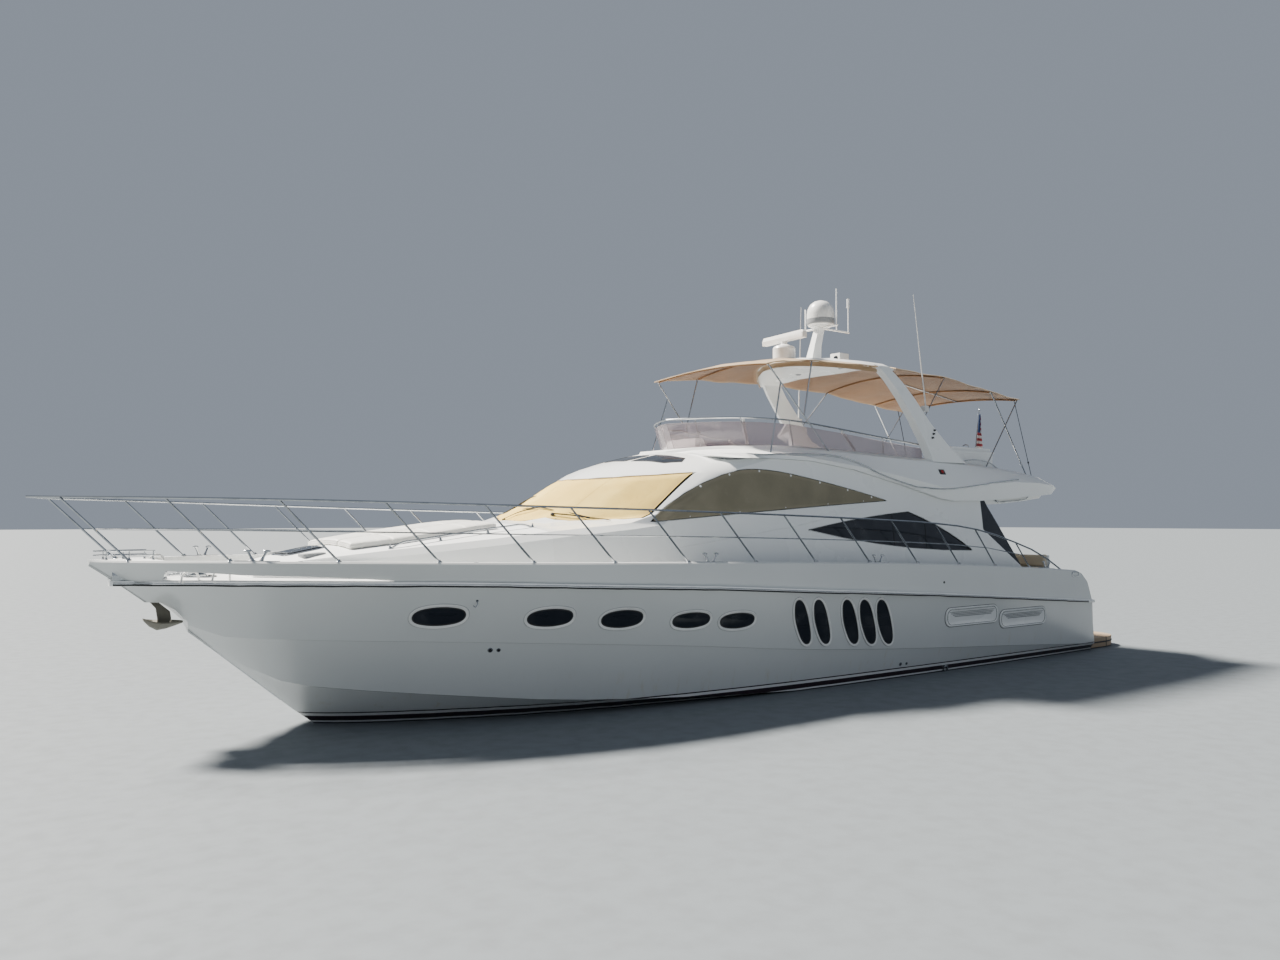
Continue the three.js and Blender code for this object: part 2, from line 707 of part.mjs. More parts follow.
// The screen's wall, or one that stands out from it by margin on every side.
function screenWall(margin) {
  const thick = 12;
  return loft(
    SCREEN_PATH.map(([x, y, tx, ty, tz]) => {
      const foot = flyTopZ(x) - 25;
      const inward = new THREE.Vector2(y === 0 ? 1 : Math.max(0, x) / 1800, Math.sign(y)).normalize();
      const out = inward.clone().multiplyScalar(margin);
      inward.multiplyScalar(thick + margin);
      return [
        [x + out.x, y + out.y, foot],
        [tx + out.x, ty + out.y, tz + margin],
        [tx - inward.x, ty - inward.y, tz + margin],
        [x - inward.x, y - inward.y, foot],
      ];
    }),
  );
}
function makeFlyScreen() {
  addMesh("flybridge_screen", largest(cut(screenWall(0), flyEnvelope(GAP))), paint.perspex);
  const railZ = 65; // above the screen's top
  const railPoints = SCREEN_PATH.map(([, , tx, ty, tz]) => [tx, ty, tz + railZ]);
  const [, , endX, endY, endZ] = SCREEN_SIDE[0];
  const ends = portAndStarboard((side) =>
    bar(
      [endX, side * endY, endZ + railZ],
      [endX - 170, side * (endY - 20), flyTopZ(endX - 170) - 25],
      16,
      6,
    ),
  );
  const props = portAndStarboard((side) =>
    [1, 3, 5, 7].map((i) => {
      const [x, y, tx, ty, tz] = SCREEN_SIDE[i];
      const foot = [x - 40, side * (y - 45), flyTopZ(x) - 20];
      return bar(foot, [tx, side * ty, tz + railZ], 12, 5);
    }),
  ).flat();
  const made = join(pipe(railPoints, 16, 6, 40), ends, props);
  const rail = cut(made, flyEnvelope(GAP), screenWall(GAP));
  addMesh("flybridge_rail", largest(rail), paint.steel);
}

// Radar arch: a wing across, on two raked legs
// leg sections: z, fore x, aft x, outer y, inner y
const ARCH_LEG = [
  [3760, -3080, -4250, 1690, 1560],
  [4100, -2870, -3700, 1680, 1555],
  [4500, -2580, -3200, 1655, 1540],
  [4900, -2260, -2820, 1620, 1510],
  [5200, -1990, -2500, 1580, 1470],
  [5400, -1800, -2280, 1520, 1400],
  [5470, -1700, -2240, 1470, 1330],
];
// wing sections: y, fore x, aft x, top z, bottom z
const ARCH_WING = [
  [1500, -1740, -2270, 5460, 5370],
  [1300, -1490, -2330, 5540, 5450],
  [900, -1100, -2440, 5605, 5510],
  [450, -800, -2560, 5640, 5535],
  [0, -700, -2620, 5650, 5540],
];
function makeRadarArch() {
  const legs = portAndStarboard((side) =>
    loft(
      ARCH_LEG.map(([z, fore, aft, outer, inner]) => {
        return [
          [fore, side * inner, z],
          [fore - 60, side * outer, z],
          [aft + 120, side * outer, z],
          [aft, side * inner, z],
        ];
      }),
    ),
  );
  const wing = loft(
    [...ARCH_WING, ...ARCH_WING.slice(0, -1).reverse().map(([y, ...rest]) => [-y, ...rest])].map(
      ([y, fore, aft, top, bottom]) => [
        [fore, y, (top + bottom) / 2 - 15],
        [fore - 120, y, top],
        [aft + 160, y, top],
        [aft, y, (top + bottom) / 2],
        [aft + 120, y, bottom],
        [fore - 100, y, bottom],
      ],
    ),
  );
  const feet = flyEnvelope(GAP);
  addMesh("radar_arch", largest(cut(join(legs, wing), feet)), paint.gelcoat);
}

// Canopies: x, edge z, centre z, half width
const CANOPY_FORE = [
  [950, 5250, 5330, 1490],
  [600, 5330, 5440, 1520],
  [-150, 5400, 5560, 1530],
  [-690, 5412, 5610, 1530],
  [-1750, 5440, 5650, 1530],
];
const CANOPY_AFT = [
  [-2200, 5450, 5665, 1530],
  [-2660, 5440, 5640, 1530],
  [-3760, 5412, 5590, 1530],
  [-5300, 5250, 5400, 1520],
  [-6280, 5160, 5270, 1490],
];
const CLOTH = 14; // thickness of a canopy
const canopyZ = (row, y) => row[2] + (row[1] - row[2]) * (y / row[3]) ** 2;
function canopyRow(rows, x) {
  const i = rows.findIndex((row) => row[0] <= x) || 1;
  const [a, b] = [rows[i - 1], rows[i]];
  return a.map((v, k) => v + ((b[k] - v) * (x - a[0])) / (b[0] - a[0]));
}
// The arch's wing seen from above, which the canopies meet edge to edge.
function archPlan() {
  const clear = 3;
  const fore = [[1620, -1890], ...ARCH_WING].map(([y, x]) => [x + clear, y]);
  const aft = [[1620, 0, -2240], ...ARCH_WING].map(([y, , x]) => [x - clear, y]);
  const half = [...fore, ...aft.reverse()];
  const other = half.map(([x, y]) => [x, -y]);
  return join(upwards(half, 5000, 6000), upwards(other, 5000, 6000));
}
function canopy(rows) {
  const shell = loft(
    rows.map((row) => {
      const [x, , , half] = row;
      const over = [1, 0.8, 0.55, 0.28, 0, -0.28, -0.55, -0.8, -1].map((s) => s * half);
      return [
        ...over.map((y) => [x, y, canopyZ(row, y)]),
        ...[...over].reverse().map((y) => [x, y, canopyZ(row, y) - CLOTH]),
      ];
    }),
    true,
  );
  return largest(cut(shell, archPlan()));
}
// A hoop across under a canopy at x, and the points where its legs begin.
function hoop(rows, x) {
  const row = canopyRow(rows, x);
  const half = row[3] - 40;
  const drop = FRAME_R + CLOTH + GAP + 1.2;
  const over = [1, 0.6, 0, -0.6, -1].map((s) => [x, s * half, canopyZ(row, s * half) - drop]);
  return { tube: pipe(over, FRAME_R, 6, 8), end: [x, half, canopyZ(row, half) - drop + 4] };
}
const flyFoot = (x, y) => [x, y, flyTopZ(x) - 40];
const blendPoint = (a, b, t) => a.map((v, k) => v + (b[k] - v) * t);
// The same tube on both sides, given by its port end points.
const pairOfBars = (a, b, radius = FRAME_R) =>
  portAndStarboard((side) => bar([a[0], side * a[1], a[2]], [b[0], side * b[1], b[2]], radius, 6));
// A tube under the canopy's middle from one hoop to the next.
function canopyTie(rows, from, to) {
  const at = (x) => [x, 0, canopyRow(rows, x)[2] - FRAME_R - CLOTH - 3];
  return bar(at(from), at(to), FRAME_R * 0.9, 6);
}
function makeCanopies() {
  addMesh("canopy_forward", canopy(CANOPY_FORE), paint.canopy);
  addMesh("canopy_aft", canopy(CANOPY_AFT), paint.canopy);

  const front = hoop(CANOPY_FORE, 900);
  const second = hoop(CANOPY_FORE, -100);
  const foreFoot = flyFoot(-400, 1600);
  const fore = join(
    front.tube,
    second.tube,
    canopyTie(CANOPY_FORE, 900, -100),
    pairOfBars(front.end, foreFoot),
    pairOfBars(blendPoint(front.end, foreFoot, 0.2), [1000, 1600, 3740]),
    pairOfBars(second.end, blendPoint(front.end, foreFoot, 0.58)),
  );
  const middle = hoop(CANOPY_AFT, -3760);
  const third = hoop(CANOPY_AFT, -5300);
  const last = hoop(CANOPY_AFT, -6250);
  const aft = join(
    middle.tube,
    third.tube,
    last.tube,
    canopyTie(CANOPY_AFT, -3760, -5300),
    canopyTie(CANOPY_AFT, -5300, -6250),
    pairOfBars(middle.end, [-3050, 1575, 4620]),
    pairOfBars(third.end, flyFoot(-6490, 1500)),
    pairOfBars(last.end, flyFoot(-5020, 1500)),
  );
  addMesh("canopy_frame_forward", cut(fore, flyEnvelope(GAP)), paint.steel);
  const legs = portAndStarboard(archLegGrown);
  addMesh("canopy_frame_aft", cut(aft, flyEnvelope(GAP), legs), paint.steel);
}

// Aerials and scanners on the arch
const SCANNER = [-950, 0, 6000]; // underside of the scanner's turning bar
const SCANNER_TURN = 7; // degrees that the bar stands off square
const turned = (profile, sides, x, y, z) =>
  solidOf(
    new THREE.LatheGeometry(profile.map(([r, h]) => new THREE.Vector2(r, h)), sides)
      .rotateX(Math.PI / 2)
      .translate(x, y, z),
  );
function makeArchGear() {
  const deckTop = ARCH_WING[ARCH_WING.length - 1][3] + GAP;
  const [sx, sy, sz] = SCANNER;
  addMesh(
    "radar_pedestal",
    turned(
      [
        [0, 0],
        [195, 0],
        [210, 30],
        [210, 215],
        [190, 250],
        [110, 285],
        [60, 300],
        [60, sz - 0.6 - deckTop],
        [0, sz - 0.6 - deckTop],
      ],
      20,
      sx,
      sy,
      deckTop,
    ),
    paint.plastic,
  );
  const scanner = loft(
    [-600, -570, 570, 600].map((y) => {
      const end = Math.abs(y) > 580 ? 0.8 : 1;
      return [
        [-60 * end, y, 0],
        [55 * end, y, 0],
        [65 * end, y, 70],
        [40 * end, y, 140 * end],
        [-50 * end, y, 140 * end],
        [-65 * end, y, 60],
      ];
    }),
  );
  addMesh("radar_scanner", scanner.rotate([0, 0, -SCANNER_TURN]).translate(SCANNER), paint.plastic);

  // pylon that carries the satellite dome and a cross arm with two short aerials
  const domeX = -1950;
  const domeZ = 6410;
  const pylon = loft([
    [-1720, deckTop, 130],
    [-1800, 6000, 95],
    [-1930, domeZ, 80],
  ].map(([x, z, half]) => [
    [x + half, half * 0.7, z],
    [x - half, half * 0.7, z],
    [x - half, -half * 0.7, z],
    [x + half, -half * 0.7, z],
  ]));
  const plate = turned([[0, 0], [190, 0], [190, 24], [0, 24]], 20, domeX, 0, domeZ - 24);
  const arm = bar([domeX, -430, domeZ - 40], [domeX, 430, domeZ - 40], 18, 8);
  const stem = bar([domeX, 0, domeZ - 60], [domeX, 0, domeZ - 10], 60, 8);
  const aftArm = bar([domeX, 0, domeZ - 40], [-2760, 0, domeZ - 40], 18, 8);
  const rods = join(
    bar([domeX, 400, domeZ - 50], [domeX, 400, domeZ + 420], 14, 6),
    bar([domeX, -400, domeZ - 50], [domeX, -400, domeZ + 380], 14, 6),
    bar([-2400, 0, domeZ - 50], [-2400, 0, 7200], 12, 6),
    bar([-2740, 0, domeZ - 50], [-2740, 0, 6900], 12, 6),
    bar([-2740, 0, 6860], [-2740, 0, 7040], 26, 8),
  );
  addMesh("aerial_mast", join(pylon, plate, stem, arm, aftArm, rods), paint.gelcoat);
  addMesh(
    "satellite_dome",
    turned(
      [
        [0, 0],
        [235, 0],
        [260, 30],
        [265, 110],
        [265, 230],
        [245, 330],
        [200, 410],
        [125, 465],
        [50, 488],
        [0, 490],
      ],
      24,
      domeX,
      0,
      domeZ + GAP,
    ),
    paint.plastic,
  );
  addMesh(
    "night_camera",
    join(
      turned([[0, 0], [95, 0], [95, 60], [60, 90], [60, 130], [0, 130]], 16, -2480, 0, deckTop),
      box([-2610, -120, deckTop + 115], [-2350, 120, deckTop + 270]),
    ),
    paint.plastic,
  );
  for (const { side, name, foot, tip } of WHIPS) {
    const whip = join(
      bar([foot[0], side * foot[1], foot[2]], [tip[0], side * tip[1], tip[2]], 14, 8, 5),
      box(
        [foot[0] - 45, Math.min(side * 1540, side * 1640), foot[2] - 40],
        [foot[0] + 60, Math.max(side * 1540, side * 1640), foot[2] + 70],
      ),
    );
    addMesh("whip_aerial_" + name, largest(cut(whip, archLegGrown(side))), paint.plastic);
  }
}
// Whip aerials on the arch's legs, their points given as if to port
const WHIPS = [
  { side: 1, name: "port", foot: [-3030, 1610, 4730], tip: [-2640, 1650, 6830] },
  { side: -1, name: "starboard", foot: [-2990, 1600, 4730], tip: [-3090, 1600, 7180] },
];
function archLegGrown(side) {
  return loft(
    ARCH_LEG.map(([z, fore, aft, outer, inner]) => [
      [fore + GAP, side * (inner - GAP), z],
      [fore - 60 + GAP, side * (outer + GAP), z],
      [aft + 120 - GAP, side * (outer + GAP), z],
      [aft - GAP, side * (inner - GAP), z],
    ]),
  );
}

// Guard rail round the deck: stanchion foot x from the bow aft
const STANCHION_X = [
  10200, 9250, 8160, 7040, 5860, 4680, 3430, 2130, 840, -430, -1670, -2840, -3950, -5090,
];
const RAIL_LEAN = 725;
const RAIL_HEIGHT = 730;
const RAIL_R = 16;
const railFoot = (x, side) => [x, side * (gunwaleY(x) - 60), gunwaleZ(x) + GAP];
function makeGuardRail() {
  const top = (x, side) => {
    const last = STANCHION_X.length - 1;
    const i = STANCHION_X.indexOf(x);
    const lean = i === last ? 480 : i === last - 1 ? 640 : RAIL_LEAN;
    const height = i === last ? 480 : i === last - 1 ? 680 : RAIL_HEIGHT;
    return [x + lean, side * (gunwaleY(x) - 40), gunwaleZ(x) + height];
  };
  const port = STANCHION_X.map((x) => top(x, 1));
  const loop = [
    [-6300, gunwaleY(-6300) - 70, gunwaleZ(-6300) - 30],
    [-5500, gunwaleY(-5500) - 60, gunwaleZ(-5500) + 260],
    ...[...port].reverse(),
    [11120, 190, 2945],
    [11190, 0, 2948],
  ];
  const far = [...loop.slice(0, -1)].reverse().map(([x, y, z]) => [x, -y, z]);
  const parts = [pipe([...loop, ...far], RAIL_R, 6, 60)];
  for (const side of [1, -1]) {
    for (const x of STANCHION_X) {
      parts.push(bar(railFoot(x, side), top(x, side), RAIL_R * 0.85, 5));
    }
    const wire = STANCHION_X.map((x) => {
      const a = railFoot(x, side);
      const b = top(x, side);
      return a.map((v, k) => (v + b[k]) / 2);
    });
    parts.push(pipe(wire, 8, 4, wire.length));
  }
  const rail = cut(join(parts), bandBody(GAP));
  addMesh("guard_rail", largest(rail), paint.steel);
}

// Plough anchor stowed in the stem's pocket
// fluke sections: x, half span, keel z, how far its edges stand above the keel
const FLUKE = [
  [9950, 40, 1466, 14],
  [9885, 190, 1395, 60],
  [9800, 240, 1345, 95],
  [9700, 225, 1358, 80],
  [9600, 150, 1388, 50],
  [9505, 25, 1420, 14],
];
function makeAnchor() {
  const shank = sideways(
    [
      [9880, 1690 - GAP],
      [9795, 1690 - GAP],
      [9655, 1570],
      [9640, 1480],
      [9690, 1370],
      [9790, 1352],
      [9790, 1480],
      [9812, 1610],
    ],
    -22,
    22,
  );
  const thick = 16;
  const fluke = loft(
    FLUKE.map(([x, half, z, rise]) => [
      [x, half, z + rise],
      [x, half * 0.5, z + rise * 0.32],
      [x, 0, z],
      [x, -half * 0.5, z + rise * 0.32],
      [x, -half, z + rise],
      [x, -half, z + rise + thick],
      [x, -half * 0.5, z + rise * 0.32 + thick],
      [x, 0, z + thick],
      [x, half * 0.5, z + rise * 0.32 + thick],
      [x, half, z + rise + thick],
    ]),
    true,
  );
  addMesh("anchor", join(shank, fluke), paint.steel);
}

// drum's radius and height above the deck
const WINDLASS_DRUM = [
  [0, 0],
  [130, 0],
  [130, 30],
  [80, 50],
  [70, 120],
  [100, 150],
  [100, 180],
  [0, 190],
];

const HATCH_PIN = [8328, 0, profileZ(8328) + 8.5];
function makeForedeck() {
  // sun pad on the coachroof
  const padPlan = upwards(
    [
      [5620, -960],
      [7150, -960],
      [7720, -800],
      [7720, 800],
      [7150, 960],
      [5620, 960],
    ],
    2000,
    3200,
  );
  const pad = cut(
    houseBody(5500, 7850, -88, (x) => deckZ(x)).intersect(padPlan),
    houseBody(COACHROOF_X, 8800, -GAP, () => 900),
  );
  addMesh("sun_pad", largest(pad), paint.cushion);
  const inset = 6;
  const lid = houseBody(7700, 8500, -25, deep).intersect(
    box(
      HATCH.low.map((v) => v + inset),
      HATCH.high.map((v) => v - inset),
    ),
  );
  const [pinX, , pinZ] = HATCH_PIN;
  const knuckles = [
    bar([pinX, -60, pinZ], [pinX, 60, pinZ], 8, 12),
    box([8280, -60, pinZ - 4], [pinX, 60, pinZ + 6]),
  ];
  const pane = cut(lid, houseBody(7600, 8600, 30, () => 900));
  addMesh("foredeck_hatch", join(pane, knuckles), paint.darkGlass);
  const base = deckZ(9500) + GAP;
  addMesh(
    "anchor_windlass",
    join(
      turned(WINDLASS_DRUM, 16, 9350, 0, base),
      box([9250, -190, base], [9450, 60, base + 90]),
    ),
    paint.steel,
  );
}

// The garage door lies on the transom's slope, hinged along its top edge.
const STERN_TOP = [-7330, 1010];
const STERN_LOW = [TRANSOM_X, 0];
const GARAGE_TOP_Z = 950;
const GARAGE_LOW_Z = 300;
const sternX = (z) =>
  STERN_LOW[0] + ((STERN_TOP[0] - STERN_LOW[0]) * (z - STERN_LOW[1])) / (STERN_TOP[1] - STERN_LOW[1]);
const SLOPE = new THREE.Vector2(STERN_TOP[1] - STERN_LOW[1], STERN_TOP[0] - STERN_LOW[0]).normalize();
// a point on the transom at height z, moved outwards by off
const onStern = (z, off) => [sternX(z) - SLOPE.x * off, z + SLOPE.y * off];
function garageDoorway(margin, inner) {
  const half = 1200 + margin;
  const outline = [
    onStern(GARAGE_TOP_Z + margin, 20),
    onStern(GARAGE_LOW_Z - margin, 20),
    onStern(GARAGE_LOW_Z - margin, inner),
    onStern(GARAGE_TOP_Z + margin, inner),
  ];
  return sideways(outline, -half, half);
}

// Stern: bathing platform, garage door and side gate
function makeStern() {
  const plan = new THREE.Shape();
  plan.moveTo(-7540, -2150);
  plan.lineTo(-7540, 2150);
  plan.lineTo(-8300, 2150);
  plan.quadraticCurveTo(-9000, 2120, -9080, 1500);
  plan.quadraticCurveTo(-9150, 700, -9150, 0);
  plan.quadraticCurveTo(-9150, -700, -9080, -1500);
  plan.quadraticCurveTo(-9000, -2120, -8300, -2150);
  const outline = plan.getPoints(5).map((p) => [p.x, p.y]);
  const slab = upwards(outline, 20, 215);
  const aft = cut(hullBody(), sternCutter);
  addMesh("bathing_platform", largest(cut(slab, aft, aft.translate([-GAP, 0, 0]))), paint.gelcoat);
}

// Underwater gear. The shaft runs down aft; its line is given by two points on it.
const SHAFT_START = [-3500, -470];
const SHAFT_END = [-6560, -985];
const SHAFT_BORE_R = 32.95;
const RUDDER_X = -6960;
const RUDDER_STOCK_R = 26;
function shaftPoint(x) {
  const t = (x - SHAFT_START[0]) / (SHAFT_END[0] - SHAFT_START[0]);
  return SHAFT_START[1] + (SHAFT_END[1] - SHAFT_START[1]) * t;
}
const shaftBore = (side, fore, aft) =>
  bar(
    [fore, side * SHAFT_Y, shaftPoint(fore)],
    [aft, side * SHAFT_Y, shaftPoint(aft)],
    SHAFT_BORE_R,
    16,
  );

// The starboard propeller with its shaft; the port one is its mirror image.
function propeller() {
  const side = -1;
  const hubX = -6330;
  const centre = new THREE.Vector3(hubX, side * SHAFT_Y, shaftPoint(hubX));
  const aft = new THREE.Vector3(
    SHAFT_END[0] - SHAFT_START[0],
    0,
    SHAFT_END[1] - SHAFT_START[1],
  ).normalize();
  const place = (along) => centre.clone().addScaledVector(aft, along).toArray();
  const parts = [
    bar([SHAFT_START[0] - 60, side * SHAFT_Y, shaftPoint(SHAFT_START[0] - 60)], place(120), SHAFT_R, 16),
    bar(place(-90), place(90), 62, 16, 52),
    bar(place(88), place(170), 50, 16, 12),
  ];
  const spin = new THREE.Quaternion().setFromUnitVectors(new THREE.Vector3(-1, 0, 0), aft);
  const rest = 0.75; // the angle at which its blades stopped
  for (let i = 0; i < 4; i++) {
    // blade sections: radius, chord, pitch angle in degrees
    const blade = loft(
      [
        [40, 150, 62],
        [130, 210, 48],
        [220, 250, 36],
        [290, 200, 29],
        [PROP_R, 70, 26],
      ].map(([r, chord, angle]) => {
        const a = THREE.MathUtils.degToRad(angle) * side;
        return [
          [-0.5, 0],
          [0, -0.5],
          [0.5, 0],
          [0, 0.5],
        ].map(([u, v]) => {
          const along = u * chord;
          const off = v * (r < 100 ? 26 : 12);
          return [
            along * Math.sin(a) + off * Math.cos(a),
            along * Math.cos(a) - off * Math.sin(a),
            r,
          ];
        });
      }),
    );
    const mesh = blade.getMesh();
    const turn = new THREE.Matrix4()
      .makeTranslation(centre)
      .multiply(new THREE.Matrix4().makeRotationFromQuaternion(spin))
      .multiply(new THREE.Matrix4().makeRotationX((Math.PI / 2) * i + rest));
    parts.push(new wasm.Manifold(mesh).transform(turn.elements));
  }
  return join(parts);
}

function makeUnderwater() {
  const bottom = hullBody(SKIN_GROW);
  for (const [side, name] of [
    [1, "port"],
    [-1, "starboard"],
  ]) {
    const screw = propeller();
    addMesh("propeller_" + name, side > 0 ? screw.mirror([0, 1, 0]) : screw, paint.bronze);
    const bx = -6080;
    const z = shaftPoint(bx);
    const strut = loft([
      [bx + 10, z, 60, 16],
      [bx + 60, -300, 90, 22],
    ].map(([x, zz, half, thick]) => [
      [x + half, side * SHAFT_Y, zz],
      [x, side * SHAFT_Y + thick, zz],
      [x - half, side * SHAFT_Y, zz],
      [x, side * SHAFT_Y - thick, zz],
    ]));
    const barrel = bar(
      [bx + 90, side * SHAFT_Y, shaftPoint(bx + 90)],
      [bx - 90, side * SHAFT_Y, shaftPoint(bx - 90)],
      56,
      16,
    );
    const bracket = cut(join(strut, barrel), shaftBore(side, bx + 200, bx - 200), bottom);
    addMesh("shaft_bracket_" + name, largest(bracket), paint.bronze);
    // rudder: x fore, x aft, thickness by height
    const rudderBlade = loft(
      [
        [-600, -6830, -7290, 34],
        [-1000, -6850, -7270, 28],
        [-1230, -6890, -7230, 20],
      ].map(([zz, fore, aftX, thick]) => [
        [fore, side * SHAFT_Y, zz],
        [fore - 90, side * SHAFT_Y + thick, zz],
        [aftX, side * SHAFT_Y + 3, zz],
        [aftX, side * SHAFT_Y - 3, zz],
        [fore - 90, side * SHAFT_Y - thick, zz],
      ]),
    );
    const stock = bar(
      [RUDDER_X, side * SHAFT_Y, -700],
      [RUDDER_X, side * SHAFT_Y, -330],
      RUDDER_STOCK_R,
      16,
    );
    addMesh("rudder_" + name, join(rudderBlade, stock), paint.bronze);
  }
}

function makeSternDoors() {
  const leaf = sideways(
    [
      onStern(GARAGE_TOP_Z, 0),
      onStern(GARAGE_LOW_Z, 0),
      onStern(GARAGE_LOW_Z, -45),
      onStern(GARAGE_TOP_Z, -45),
    ],
    -1200,
    1200,
  );
  const [pinX, pinZ] = onStern(GARAGE_TOP_Z + 8, 9);
  const hinges = [-900, 0, 900].flatMap((y) => [
    bar([pinX, y - 50, pinZ], [pinX, y + 50, pinZ], 8.4, 10),
    sideways(
      [
        onStern(GARAGE_TOP_Z + 5, 5),
        onStern(GARAGE_TOP_Z - 40, -5),
        onStern(GARAGE_TOP_Z - 40, 8),
        onStern(GARAGE_TOP_Z + 5, 14),
      ],
      y - 50,
      y + 50,
    ),
  ]);
  addMesh("garage_door", join(leaf, hinges), paint.gelcoat);
  const gate = join(
    box([-6745, -1943, SOLE_Z + 6], [-6705, -1337, 1640]),
    [1330, 1540].flatMap((z) => [
      bar([-6690, -1950, z], [-6690, -1950, z + 70], 9.6, 10),
      box([-6720, -1943, z], [-6690, -1925, z + 70]),
      box([-6695, -1950, z], [-6688, -1925, z + 70]),
    ]),
  );
  addMesh("transom_gate", gate, paint.gelcoat);
}

function makeFlyFittings() {
  const floor = FLY_FLOOR_Z + GAP;
  const console = cut(
    join(
      box([740, -1020, floor], [1030, -220, 3950]),
      sideways(
        [
          [740, 3940],
          [1030, 3940],
          [1030, 4120],
          [860, 4120],
        ],
        -1020,
        -220,
      ),
    ),
    bar([660, WHEEL[1], WHEEL[2]], [820, WHEEL[1], WHEEL[2]], 16.4, 16),
  );
  addMesh("fly_console", console, paint.gelcoat);
  const rim = new THREE.TorusGeometry(190, 13, 6, 24).rotateY(Math.PI / 2).translate(...WHEEL);
  const spokes = [0, 1, 2].map((i) => {
    const a = (i * 2 * Math.PI) / 3 + Math.PI / 2;
    return bar(
      WHEEL,
      [WHEEL[0], WHEEL[1] + 190 * Math.cos(a), WHEEL[2] + 190 * Math.sin(a)],
      10,
      6,
    );
  });
  const shaft = bar([WHEEL[0] - 12, WHEEL[1], WHEEL[2]], [810, WHEEL[1], WHEEL[2]], 15.5, 16);
  addMesh("fly_wheel", join(solidOf(rim), spokes, shaft), paint.darkGlass);
  const seat = (x0, x1, y0, y1, height, back) =>
    join(
      box([x0, y0, floor], [x1, y1, floor + height]),
      back === "aft"
        ? box([x0, y0, floor], [x0 + 160, y1, floor + height + 380])
        : box([x0, y1 - 150, floor], [x1, y1, floor + height + 250]),
    );
  addMesh("fly_helm_seat", seat(-200, 380, -1180, -250, 460, "aft"), paint.cushion);
  const settee = join(
    seat(-2700, 0, 800, 1260, 430, "port"),
    box([-2700, 0, floor], [-2150, 1260, floor + 430]),
  );
  addMesh("fly_settee", settee, paint.cushion);
  const table = join(
    box([-1700, 60, 3820], [-500, 720, 3860]),
    bar([-1100, 390, floor], [-1100, 390, 3840], 45, 12),
    bar([-1100, 390, floor], [-1100, 390, floor + 20], 160, 12),
  );
  addMesh("fly_table", table, paint.teak);
  addMesh("fly_sun_lounge", box([-6250, -500, floor], [-4800, 800, floor + 420]), paint.cushion);
  const bench = join(
    box([-5600, 830, floor], [-4300, 1290, 4020]),
    box([-5640, 810, 4010], [-4260, 1300, 4050]),
    box([-5600, 1180, 4040], [-4300, 1240, 4120]),
  );
  addMesh("fly_wet_bar", bench, paint.gelcoat);
  makeEnsign();
}

// Ensign staff on the flybridge's aft edge, leaning aft, and its hanging flag
const STAFF = { foot: [-6780, 3560], top: [-7060, 5100] };
const STAFF_RAKE = (STAFF.top[0] - STAFF.foot[0]) / (STAFF.top[1] - STAFF.foot[1]);
const staffX = (z) => STAFF.foot[0] + (z - STAFF.foot[1]) * STAFF_RAKE;
function makeEnsign() {
  const foot = [staffX(3500), 0, 3500];
  const staff = join(
    bar(foot, [STAFF.top[0], 0, STAFF.top[1]], 15, 8, 11),
    bar([STAFF.top[0], 0, STAFF.top[1] - 8], [STAFF.top[0] - 4, 0, STAFF.top[1] + 24], 20, 8),
    bar([staffX(3560), 0, 3560], [staffX(3650), 0, 3650], 34, 10),
  );
  addMesh("ensign_staff", cut(staff, flyEnvelope(GAP)), paint.steel);
  const hoist = (z) => [staffX(z) - 13.5, z];
  const flag = sideways(
    [hoist(5030), [-7150, 4760], [-7235, 4300], [-7130, 4235], hoist(4255)],
    -42,
    42,
  );
  addMesh("ensign", flag, paint.bunting);
}

function makeCockpitFittings() {
  const sole = SOLE_Z + GAP;
  const seat = join(
    box([-6640, -1250, sole], [-6080, 1900, sole + 430]),
    box([-6640, -1250, sole], [-6480, 1900, sole + 720]),
  );
  addMesh("cockpit_seat", seat, paint.cushion);
  // stair up to the flybridge on the starboard side
  const [footX, headX, top] = [-5950, -4850, 2940];
  const rise = (top - sole) / 8;
  const run = (headX - footX) / 8;
  const treads = [1, 2, 3, 4, 5, 6, 7].map((i) =>
    box(
      [footX + run * i - 60, STAIR_Y[0] + 20, sole + rise * i - 30],
      [footX + run * i + 190, STAIR_Y[1] - 20, sole + rise * i],
    ),
  );
  const stringers = [STAIR_Y[0], STAIR_Y[1] - 45].map((y) =>
    sideways(
      [
        [footX - 40, sole],
        [footX + 160, sole],
        [headX + 120, top],
        [headX - 120, top],
        [footX - 40, sole + 120],
      ],
      y,
      y + 45,
    ),
  );
  addMesh("fly_stair", join(treads, stringers), paint.teak);
}

makeHull();
makeRubRail();
makeDeck();
makeCoachroof();
makeDeckhouse();
makeGlazing();
makeSaloonDoor();
makeFlybridge();
makeFlyScreen();
makeRadarArch();
makeCanopies();
makeArchGear();
makeGuardRail();
makeAnchor();
makeForedeck();
makeStern();
makeSternDoors();
makeFlyFittings();
makeCockpitFittings();
makeUnderwater();

export default group;
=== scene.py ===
"""Looks for a flybridge motor yacht afloat, in metres: +X to the bow, +Y to port, +Z up, water at 0."""
import math

import bmesh
import bpy
from mathutils import Matrix, Vector
from mathutils.bvhtree import BVHTree


